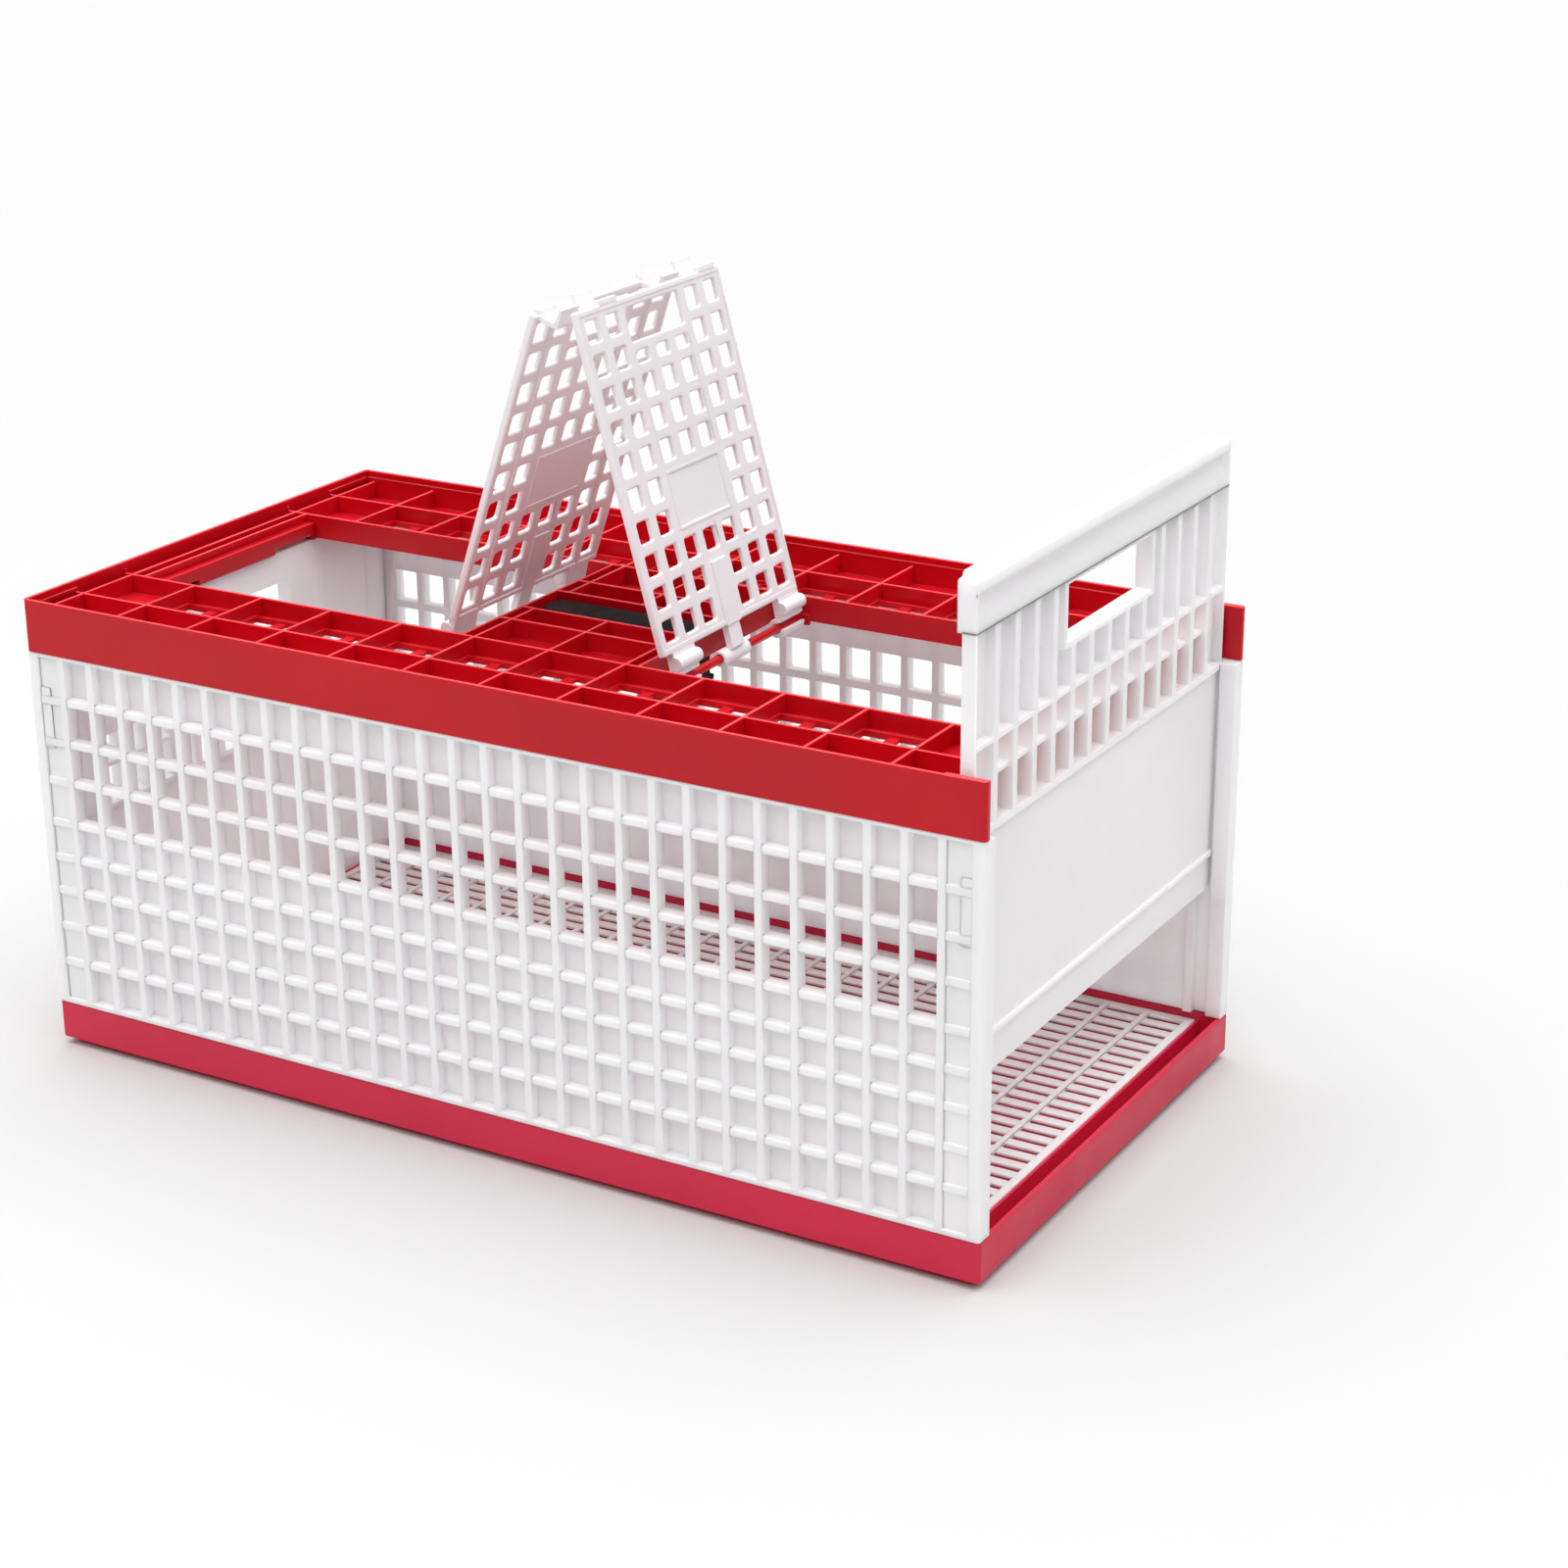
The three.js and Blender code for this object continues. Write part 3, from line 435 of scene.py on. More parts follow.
def finish_mesh(name, shell, edge, weights=None, segments=2):
    """Makes the object, in metres, with its sharp edges rounded.

    weights gives an edge's share of the radius, which is 1 without it.
    """
    mesh = bpy.data.meshes.new(name)
    layer = shell.edges.layers.float.new("bevel_weight_edge")
    for line in shell.edges:
        if len(line.link_faces) == 2 and line.calc_face_angle(0) > SHARP_ANGLE:
            line[layer] = weights(line) if weights else 1.0
    for face in shell.faces:
        face.smooth = True
    bmesh.ops.scale(shell, vec=(MM, MM, MM), verts=shell.verts)
    shell.to_mesh(mesh)
    shell.free()
    piece = bpy.data.objects.new(name, mesh)
    bpy.context.scene.collection.objects.link(piece)
    bevel = piece.modifiers.new("soft edges", "BEVEL")
    bevel.width = edge * MM
    bevel.segments = segments
    bevel.limit_method = "WEIGHT"
    bevel.use_clamp_overlap = False
    bevel.miter_outer = "MITER_ARC" if segments > 1 else "MITER_SHARP"
    normals = piece.modifiers.new("flat faces", "WEIGHTED_NORMAL")
    normals.keep_sharp = False
    normals.weight = 80
    return piece


def unrounded(line):
    """Edge weight of a shell that comes with its rounding."""
    return 0.0


def blocks_shell(moulding, warp=None):
    """A moulding's blocks as one clean shell, in millimetres."""
    points, faces = moulding.faces()
    if warp:
        warp(points)
    mesh = bpy.data.meshes.new("blocks")
    mesh.from_pydata(points.tolist(), [], faces)
    shell = bmesh.new()
    shell.from_mesh(mesh)
    bpy.data.meshes.remove(mesh)
    return shell


def mirrored(shell, x=1, y=1):
    bmesh.ops.scale(shell, vec=(x, y, 1), verts=shell.verts)
    bmesh.ops.reverse_faces(shell, faces=shell.faces)
    return shell


def join_shells(first, others):
    """Adds closed shells to the first one, numbered after its own points."""
    for other in others:
        mesh = bpy.data.meshes.new("shell")
        other.to_mesh(mesh)
        other.free()
        first.from_mesh(mesh)
        bpy.data.meshes.remove(mesh)


def place_piece(piece, body, node, material_name):
    """Dresses a node of the solids: its plastic, its body and its colour slot."""
    piece.data.materials.append(plastic(material_name))
    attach(piece, body)
    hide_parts(node)


# Materials


def set_inputs(node, values):
    for socket, value in values.items():
        node.inputs[socket].default_value = value


def add_node(tree, kind, values=(), **settings):
    """A shader node of a tree, with values of its inputs and its own settings."""
    node = tree.nodes.new(f"ShaderNode{kind}")
    for name, setting in settings.items():
        setattr(node, name, setting)
    set_inputs(node, dict(values))
    return node


def link_all(tree, *pairs):
    """Links each (node, output, node, input) of a tree."""
    for source, output, target, socket in pairs:
        tree.links.new(source.outputs[output], target.inputs[socket])


def new_group(name, inputs, outputs):
    group = bpy.data.node_groups.new(name, "ShaderNodeTree")
    for label, default in inputs.items():
        socket = group.interface.new_socket(
            label, in_out="INPUT", socket_type="NodeSocketFloat")
        socket.default_value = default
    for label in outputs:
        group.interface.new_socket(
            label, in_out="OUTPUT", socket_type="NodeSocketFloat")
    source = group.nodes.new("NodeGroupInput")
    target = group.nodes.new("NodeGroupOutput")
    return group, source, target


def placed_group(tree, name, values):
    return add_node(tree, "Group", values, node_tree=bpy.data.node_groups[name])


def moulded_grain_group():
    """Fine grain of the mould's skin: a height and a mask for the gloss."""
    group, source, target = new_group(
        "moulded grain", {"Grain size": 900.0, "Depth": 0.4}, ["Height", "Gloss mask"])
    where = add_node(group, "TexCoord")
    fine = add_node(group, "TexNoise", {"Detail": 4})
    wave = add_node(group, "TexNoise", {"Scale": 38, "Detail": 3})
    scaled = add_node(group, "Math", operation="MULTIPLY")
    summed = add_node(group, "Math", operation="ADD")
    link_all(
        group,
        (where, "Object", fine, "Vector"),
        (where, "Object", wave, "Vector"),
        (source, "Grain size", fine, "Scale"),
        (fine, "Fac", scaled, 0),
        (source, "Depth", scaled, 1),
        (scaled, 0, summed, 0),
        (wave, "Fac", summed, 1),
        (summed, 0, target, "Height"),
        (wave, "Fac", target, "Gloss mask"))


def handling_marks_group():
    """Soft clouding of the plastic and thin rubbed lines from handling."""
    group, source, target = new_group(
        "handling marks", {"Cloud size": 5.0, "Rub size": 26.0}, ["Cloud", "Rub"])
    where = add_node(group, "TexCoord")
    cloud = add_node(group, "TexNoise", {"Detail": 5, "Roughness": 0.6})
    stretch = add_node(
        group, "Mapping", {"Scale": (0.25, 1.0, 3.0), "Rotation": (0.2, 0.35, 0.5)})
    rub = add_node(group, "TexNoise", {"Detail": 8, "Roughness": 0.72})
    band = add_node(group, "MapRange", {"From Min": 0.56, "From Max": 0.74})
    link_all(
        group,
        (where, "Object", cloud, "Vector"),
        (where, "Object", stretch, "Vector"),
        (stretch, "Vector", rub, "Vector"),
        (source, "Cloud size", cloud, "Scale"),
        (source, "Rub size", rub, "Scale"),
        (rub, "Fac", band, "Value"),
        (cloud, "Fac", target, "Cloud"),
        (band, "Result", target, "Rub"))


def ridge_tops_group():
    """A mask of the level faces above a height, in metres, where a highlight is painted.
    """
    group, source, target = new_group("ridge tops", {"From height": 0.33}, ["Ridge"])
    where = add_node(group, "TexCoord")
    place_at = add_node(group, "SeparateXYZ")
    facing = add_node(group, "SeparateXYZ")
    above = add_node(group, "Math", operation="GREATER_THAN")
    level = add_node(group, "MapRange", {"From Min": 0.45, "From Max": 0.8})
    both = add_node(group, "Math", operation="MULTIPLY")
    link_all(
        group,
        (where, "Object", place_at, "Vector"),
        (where, "Normal", facing, "Vector"),
        (place_at, "Z", above, 0),
        (source, "From height", above, 1),
        (facing, "Z", level, "Value"),
        (above, 0, both, 0),
        (level, "Result", both, 1),
        (both, 0, target, "Ridge"))


def paint_ridge_highlights(material, height, tone):
    """Paints a highlight: a paler colour on the level tops above a height, standing in
    for light caught on the rib tops.
    """
    tree = material.node_tree
    shader = tree.nodes["Principled BSDF"]
    under = shader.inputs["Base Color"].links[0].from_node
    ridges = placed_group(tree, "ridge tops", {"From height": height})
    highlighted = add_node(tree, "Mix", {"B": tone}, data_type="RGBA")
    link_all(
        tree,
        (ridges, "Ridge", highlighted, "Factor"),
        (under, "Result", highlighted, "A"),
        (highlighted, "Result", shader, "Base Color"))


def moulded_plastic(name, tone, deep, pale, gloss, grain, bump, shine, scatter=None):
    """A moulded plastic whose tone clouds between deep and pale shares of it.

    gloss is the lowest and highest roughness, and scatter the radius and reach of
    the light in the plastic.
    """
    material = bpy.data.materials.new(name)
    material.use_nodes = True
    tree = material.node_tree
    shader = tree.nodes["Principled BSDF"]
    skin = placed_group(tree, "moulded grain", {"Grain size": grain, "Depth": 0.4})
    marks = placed_group(tree, "handling marks", {"Cloud size": 5.5, "Rub size": 22.0})
    clouded = add_node(tree, "ValToRGB")
    ramp = clouded.color_ramp
    ramp.elements[0].position, ramp.elements[1].position = 0.3, 0.72
    ramp.elements[0].color = shade(tone, deep)
    ramp.elements[1].color = shade(tone, pale)
    ramp.elements.new(0.5).color = tone
    rubbed = add_node(tree, "Mix", {"B": shade(tone, pale)}, data_type="RGBA")
    amount = add_node(tree, "Math", {1: 0.35}, operation="MULTIPLY")
    rough = add_node(tree, "MapRange", {
        "From Min": 0.35, "From Max": 0.7, "To Min": gloss[0], "To Max": gloss[1]})
    worn = add_node(tree, "Math", {1: 0.12}, operation="MULTIPLY_ADD")
    relief = add_node(tree, "Bump", {"Strength": bump, "Distance": 0.0006})
    link_all(
        tree,
        (marks, "Cloud", clouded, "Fac"),
        (clouded, "Color", rubbed, "A"),
        (marks, "Rub", amount, 0),
        (amount, 0, rubbed, "Factor"),
        (rubbed, "Result", shader, "Base Color"),
        (skin, "Gloss mask", rough, "Value"),
        (marks, "Rub", worn, 0),
        (rough, "Result", worn, 2),
        (worn, 0, shader, "Roughness"),
        (skin, "Height", relief, "Height"),
        (relief, "Normal", shader, "Normal"))
    set_inputs(shader, {"IOR": 1.49, "Specular IOR Level": shine})
    if scatter:
        radius, reach = scatter
        set_inputs(shader, {
            "Subsurface Weight": 0.8, "Subsurface Radius": radius,
            "Subsurface Scale": reach})
    return material


def shade(tone, share):
    """A tone made darker or paler, and left opaque."""
    return tuple(min(1.0, c * share) for c in tone[:3]) + (1.0,)


def plastic(name):
    material = bpy.data.materials.get(name)
    if material is None:
        raise RuntimeError(f"the plastic {name} isn't mixed yet")
    return material


# Long walls


def long_wall_shell(size):
    """The back wall in millimetres, its ribs towards +Y."""
    end, outer = size.half_length, size.half_width
    inner, over = outer - size.depth, outer + OVERRUN
    face, pocket_back = outer - size.level_setback, inner + size.skin
    height = (size.bottom, size.top)
    lower_rail, upper_rail = 4, 2.5
    lip, channel_back = 183.5, 189.3
    lip_start, channel_start, post_start, column_end = 345.1, 352.1, 362.9, 366

    wall = Moulding()
    wall.add(-end, end, inner, outer, *height)
    wall.add(post_start, end, lip, outer, *height, mirror="x")

    edges = [size.bottom + lower_rail]
    for level in size.level_places:
        edges += [level - size.level_width / 2, level + size.level_width / 2]
    edges.append(size.top - upper_rail)
    rows = list(zip(edges[::2], edges[1::2]))
    pitch = size.rib_half * 2 / (size.rib_count - 1)
    half_rib = size.rib_width / 2
    for column in range(size.rib_count - 1):
        x0 = -size.rib_half + pitch * column + half_rib
        x1 = x0 + pitch - size.rib_width
        wall.cut(x0, x1, face, over, edges[0], edges[-1])
        for row, (z0, z1) in enumerate(rows):
            opened = size.open_first <= row <= size.open_last
            wall.cut(x0, x1, inner - OVERRUN if opened else pocket_back, over, z0, z1)

    column_start = size.rib_half + half_rib
    recess, pad = outer - 2.6, outer - 1.4
    pad_start, pad_bottom, pad_top = 358, 231, 276
    for z0, z1 in rows:
        wall.cut(column_start, column_end, recess, over, z0, z1, mirror="x")
    wall.cut(column_start, column_end, face, over, edges[0], edges[-1], mirror="x")
    wall.add(pad_start, column_end, recess - 1, pad, pad_bottom, pad_top, mirror="x")
    wall.add(lip_start, channel_start, lip, pocket_back, *height, mirror="x")
    wall.cut(
        channel_start, post_start, 181, channel_back, size.bottom - OVERRUN,
        size.top + OVERRUN, mirror="x")

    tongue = (-339, 339, 192, 194.4)
    tongue_foot, tongue_top = 25.4, 310
    wall.add(*tongue, tongue_foot, size.bottom + 2)
    wall.add(*tongue, size.top - 1.25, tongue_top)

    wall.round_upright(end, outer, size.corner)
    return blocks_shell(
        wall, lambda points: round_corners(points, end, outer, size.corner))


def level_rib_weights(size):
    """Level ribs are rounder than the upright ones."""
    face = size.half_width - size.level_setback
    upright = size.edge / size.level_edge
    near = 0.01

    def weigh(line):
        one, two = (vert.co for vert in line.verts)
        level = abs(one.z - two.z) < near and abs(one.y - two.y) < near
        on_face = abs(abs(one.y) - face) < near
        between_ribs = max(abs(one.x), abs(two.x)) < size.rib_half
        return 1.0 if level and on_face and between_ribs else upright

    return weigh


class CRATE_OT_long_walls(bpy.types.Operator):
    """Builds the two ribbed long walls"""

    bl_idname = "crate.long_walls"
    bl_label = "Long walls"

    def execute(self, context):
        size = millimetres(context.scene.crate_walls)
        for side in ("back", "front"):
            shell = long_wall_shell(size)
            if side == "front":
                mirrored(shell, y=-1)
            piece = finish_mesh(
                f"{side}_wall_moulding", shell, size.level_edge,
                level_rib_weights(size))
            place_piece(piece, "crate", f"{side}_wall", "white plastic")
        return {"FINISHED"}


# End panels


HEAD_FOOT = 301.6


def panel_blocks(size, grille_top, panel_top, slot_bottom):
    """The part that the gate and the left end wall share."""
    front, half, bottom = size.front, size.half_width, size.grille_bottom
    over, back = front + OVERRUN, front - size.depth - OVERRUN
    post_back, grid_back, mid_front = front - 10, front - 12.5, front - 3
    plate_front, plate_back, plate_half = front - 2.5, front - 5.5, 187.6
    post, post_step, post_foot, foot_bar = half - 13, half - 6, 34.1, 38.1
    grille_half, sill, half_level = half - 31.4, 5, 1.75

    panel = Moulding()
    panel.add(
        plate_back, plate_front, -plate_half, plate_half, size.foot,
        bottom + sill / 2)
    panel.add(post_back, front, post, half, post_foot, panel_top, mirror="y")
    panel.add(plate_back, front, -post_step, post_step, post_foot, foot_bar)
    panel.add(post_back, front, grille_half, post_step, bottom, panel_top, mirror="y")
    panel.add(grid_back, front, -grille_half - 1, grille_half + 1, bottom, panel_top)

    skin, thin_skin = grid_back + 2.5, grid_back + 3.4
    mid_low, mid_high = size.mid_rib - half_level, size.mid_rib + half_level
    upper_low, upper_high = size.upper_rib - half_level, size.upper_rib + half_level
    step = slot_bottom + 2
    slot_half = size.slot / 2
    collar, least_part = slot_half + 4, 2.5
    tab_back, tab_front, half_tab, tab_height = skin - 1, skin + 1.2, 1.5, (236, 239)
    pitch = (grille_half * 2 + size.rib_width) / size.cells
    for index in range(size.cells):
        y0 = -grille_half + index * pitch
        y1 = y0 + pitch - size.rib_width
        panel.cut(back, over, y0, y1, bottom + sill, mid_low)
        panel.cut(back, over, y0, y1, mid_high, upper_low)
        panel.cut(mid_front, over, y0, y1, mid_low, mid_high)
        parts = [(y0, y1)]
        if y1 > -collar and y0 < collar:
            panel.cut(skin, over, y0, y1, upper_high, slot_bottom - 4)
            parts = [(y0, min(y1, -collar)), (max(y0, collar), y1)]
        for part0, part1 in parts:
            if part1 - part0 > least_part:
                panel.cut(skin, over, part0, part1, upper_high, step)
                panel.cut(thin_skin, over, part0, part1, step, grille_top)
        middle = (y0 + y1) / 2
        if abs(middle) < collar:
            panel.add(
                tab_back, tab_front, middle - half_tab, middle + half_tab, *tab_height)
    panel.cut(back, over, -slot_half, slot_half, slot_bottom, grille_top - 2)

    beside = grille_half + size.rib_width
    for start, depth, z0, z1 in (
        (post, 2.5, foot_bar, bottom),
        (beside, 7.2, bottom + sill, upper_low),
        (beside, 7.2, upper_high, grille_top),
    ):
        panel.cut(front - depth, over, start, half - 2.2, z0, z1, mirror="y")
    return panel


def head_section(away, front, back):
    """Outline of the gate's head, away from its side edge, as [x, z] points."""
    ramp = min(1.0, max(0.0, (away - 2.2) / 1.2))
    channel = 6.5 * ramp * ramp * (3 - 2 * ramp)
    drop = 3 * (1 - quarter_round(away / 3))
    top = 334.8 - drop
    lip = top + 0.1 + 3.4 * quarter_round((away - 6.5) / 3)
    groove = min(331.7, top + 0.4) if away > 2.5 else top + 0.4
    trough = [
        (0.0, 302.4), (0.12, 305.0), (0.3, 308.6), (0.52, 312.4), (0.76, 316.2),
        (0.93, 319.6), (1.0, 322.4), (0.95, 324.4), (0.74, 325.9), (0.4, 326.7)]
    return [
        (back, HEAD_FOOT), (front, HEAD_FOOT),
        *((front - channel * share, z) for share, z in trough),
        (front, 327.2 - drop),
        (front, top - 1.6), (front - 0.5, top - 0.5), (front - 1.5, top),
        (front - 2.4, top), (front - 2.6, groove),
        (back + 4.2, groove), (back + 3.6, groove + 0.4),
        (back + 3.5, lip - 1.0), (back + 3.0, lip - 0.2),
        (back + 1.0, lip), (back + 0.1, lip - 0.8),
    ]


def gate_head_shell(size):
    """The gate's head, with sections close together near its round side edges."""
    front, back = size.front, size.front - size.depth
    sections = [
        0.0, 0.35, 0.9, 1.7, 2.2, 2.49, 2.51, 2.8, 3.1, 3.4, 6.45, 6.6, 7.0, 7.8,
        8.8, 9.5]
    places = [(-1, away) for away in sections] + [(1, away) for away in sections[::-1]]
    rings = []
    for side, away in places:
        y = side * (size.half_width - away)
        ease = 0.7 * (1 - quarter_round(away / 0.9))
        rings.append([
            (min(max(x, back + ease), front - ease), y, z + size.raised)
            for x, z in head_section(away, front, back)])
    return loft(rings)


class CRATE_OT_gate(bpy.types.Operator):
    """Builds the sliding gate in its raised place"""

    bl_idname = "crate.gate"
    bl_label = "Sliding gate"

    def execute(self, context):
        size = millimetres(context.scene.crate_panels)
        blocks = panel_blocks(
            size, grille_top=HEAD_FOOT, panel_top=HEAD_FOOT + 1, slot_bottom=262)
        blocks.lift(size.raised)
        shell = blocks_shell(blocks)
        join_shells(shell, [gate_head_shell(size)])
        head_from = HEAD_FOOT + 0.4 + size.raised

        def weigh(line):
            return 0.0 if min(v.co.z for v in line.verts) > head_from else 1.0

        piece = finish_mesh("gate_moulding", shell, size.edge, weigh)
        place_piece(piece, "gate", "sliding_gate", "white plastic")
        return {"FINISHED"}


class CRATE_OT_left_end(bpy.types.Operator):
    """Builds the fixed left end wall"""

    bl_idname = "crate.left_end"
    bl_label = "Left end wall"

    def execute(self, context):
        size = millimetres(context.scene.crate_panels)
        shell = mirrored(blocks_shell(panel_blocks(
            size, grille_top=290, panel_top=311.7, slot_bottom=251.6)), x=-1)
        piece = finish_mesh("left_end_moulding", shell, size.edge)
        place_piece(piece, "crate", "left_end_wall", "white plastic")
        return {"FINISHED"}


# Base tray and grate


def tray_shell(size):
    """The tray with its end sills, grooves and grate bearers, on its foot rim."""
    rim, over = size.rim, size.rim + OVERRUN
    half_x, half_y = HALF_LENGTH, TRAY_HALF_WIDTH
    side_bottom, floor, inside_y = 5, 8, 190
    basin, sill, sill_height, channel_end = 353.9, 356.4, 27, 371
    groove = (-339.3, 339.3, 191.7, 194.7, rim - 9, over)
    foot_x, foot_y, foot_width, foot_height = 366.5, 190.5, 6, 6
    bearers, bearer_span, half_bearer, bearer_top = 5, 353.3, 2, 23.7

    tray = Moulding()
    tray.add(-half_x, half_x, -half_y, half_y, side_bottom, rim)
    tray.cut(-basin, basin, -inside_y, inside_y, floor, over)
    tray.cut(sill, channel_end, -inside_y, inside_y, floor, over, mirror="x")
    tray.cut(
        basin - 0.3, sill + 0.3, -inside_y, inside_y, sill_height, over, mirror="x")
    tray.cut(*groove, mirror="y")
    tray.add(-foot_x, foot_x, -foot_y, foot_y, 0, foot_height)
    in_x, in_y = foot_x - foot_width, foot_y - foot_width
    tray.cut(-in_x, in_x, -in_y, in_y, -OVERRUN, side_bottom)
    pitch = bearer_span * 2 / (bearers + 1)
    for index in range(1, bearers + 1):
        x = -bearer_span + pitch * index
        tray.add(
            x - half_bearer, x + half_bearer, -inside_y - 1.5, inside_y + 1.5,
            floor - 1, bearer_top)
    tray.round_upright(half_x, half_y, size.corner)
    tray.round_upright(foot_x, foot_y, size.corner)

    def warp(points):
        low = points[:, 2] < side_bottom + 0.5
        foot = points[low]
        within = (np.abs(foot[:, :2]) < (foot_x + 0.01, foot_y + 0.01)).all(axis=1)
        ring = foot[within]
        round_corners(ring, foot_x, foot_y, size.corner)
        foot[within] = ring
        points[low] = foot
        round_corners(points, half_x, half_y, size.corner)

    return blocks_shell(tray, warp)


class CRATE_OT_tray(bpy.types.Operator):
    """Builds the red base tray on its foot rim"""

    bl_idname = "crate.tray"
    bl_label = "Base tray"

    def execute(self, context):
        size = millimetres(context.scene.crate_tray)
        piece = finish_mesh("tray_moulding", tray_shell(size), size.edge)
        place_piece(piece, "crate", "base_tray", "tray plastic")
        return {"FINISHED"}


def grate_shell(size):
    """The grate in its own box, with columns of slots in shallow troughs."""
    (x_low, y_low, z_low), (x_high, y_high, z_high) = GRATE_LOW, GRATE_HIGH
    border, trough_border, trough_side, trough_depth = 4, 3, 0.6, 0.7
    pitch_x = (x_high - x_low - border * 2) / size.slot_columns
    pitch_y = (y_high - y_low - border * 2) / size.slot_rows
    over = z_high + OVERRUN

    grate = Moulding()
    grate.add(x_low, x_high, y_low, y_high, z_low, z_high)
    for column in range(size.slot_columns):
        x = x_low + border + pitch_x * (column + 0.5)
        x0, x1 = x - size.slot_length / 2, x + size.slot_length / 2
        for row in range(size.slot_rows):
            y = y_low + border + pitch_y * (row + 0.5)
            y0, y1 = y - size.slot_width / 2, y + size.slot_width / 2
            grate.cut(x0, x1, y0, y1, z_low - OVERRUN, over)
        grate.cut(
            x0 - trough_side, x1 + trough_side, y_low + trough_border,
            y_high - trough_border, z_high - trough_depth, over)
    return blocks_shell(grate)


class CRATE_OT_grate(bpy.types.Operator):
    """Builds the slotted floor grate"""

    bl_idname = "crate.grate"
    bl_label = "Floor grate"

    def execute(self, context):
        size = millimetres(context.scene.crate_tray)
        piece = finish_mesh(
            "grate_moulding", grate_shell(size), size.grate_edge, segments=1)
        place_piece(piece, "crate", "floor_grate", "white plastic")
        return {"FINISHED"}


# Top frame


CROSS_RIB_START = -365.0
LEFT_OPENING = (-353.3, -76.0)
RIGHT_OPENING = (68.0, 345.3)
OPENINGS = (LEFT_OPENING, RIGHT_OPENING)
OPENING_HALF = 93.0
DECK = 318.5
DECK_UNDERSIDE = 316.0
RIB_TOP = 331.5
CATCH_TOP = 326.0
CATCH_FACES = (("left", -345.9, -1), ("right", 337.9, 1))


def cross_ribs(size):
    """Places of the ribs across the deck, evenly about the bridge."""
    places = [BRIDGE_MIDDLE + size.rib_pitch * k for k in range(-5, 6)]
    return [CROSS_RIB_START] + places


def rib_pockets(top, size, span, band, over):
    """Cuts the pockets between the cross ribs, in a band along both long sides."""
    places = cross_ribs(size)
    starts = [span[0]] + [x + size.rib / 2 for x in places]
    ends = [x - size.rib / 2 for x in places] + [span[1]]
    least = 1.5
    for start, end in zip(starts, ends):
        x0, x1 = max(start, span[0]), min(end, span[1])
        if x1 - x0 > least:
            top.cut(x0, x1, *band, DECK, over, mirror="y")


def vents(top, size):
    """Pairs of vent holes in shallow trays with raised rims, between the ribs."""
    rim, edge, over = 2.5, 1.2, DECK + 3
    start, end, low, high = 2.4, 46.4, 104.3, 139.7
    for x in cross_ribs(size)[1:-1]:
        x0, x1 = x + start, x + end
        top.add(
            x0 - edge, x1 + edge, low - edge, high + edge, DECK, DECK + rim, mirror="y")
        top.cut(x0, x1, low, high, DECK, over, mirror="y")
        for hole in (x0, x1 - size.vent):
            top.cut(
                hole, hole + size.vent, low, high, DECK_UNDERSIDE - OVERRUN, over,
                mirror="y")


def catch_beam_shell(face, side):
    """The rounded beam that a lid's forks hold, with a notch at each fork."""
    back, top, foot, notch_foot = face + side * 8.6, CATCH_TOP, 312, 316
    end, notch_start, notch_end, slope = 94.4, 44, 91, 0.05
    half = [
        (end, foot), (notch_end + slope, foot), (notch_end, notch_foot),
        (notch_start, notch_foot), (notch_start - slope, foot)]
    rings = []
    for y, low in [(-y, low) for y, low in half] + half[::-1]:
        outline = [
            (back, low), (face + side * 1.2, low), (face + side * 0.4, low + 0.4),
            (face, low + 1.3), (face, top - 1.3), (face + side * 0.2, top - 0.7),
            (face + side * 0.6, top - 0.2), (face + side * 1.3, top), (back, top)]
        rings.append([(x, y, z) for x, z in outline])
    return loft(rings)


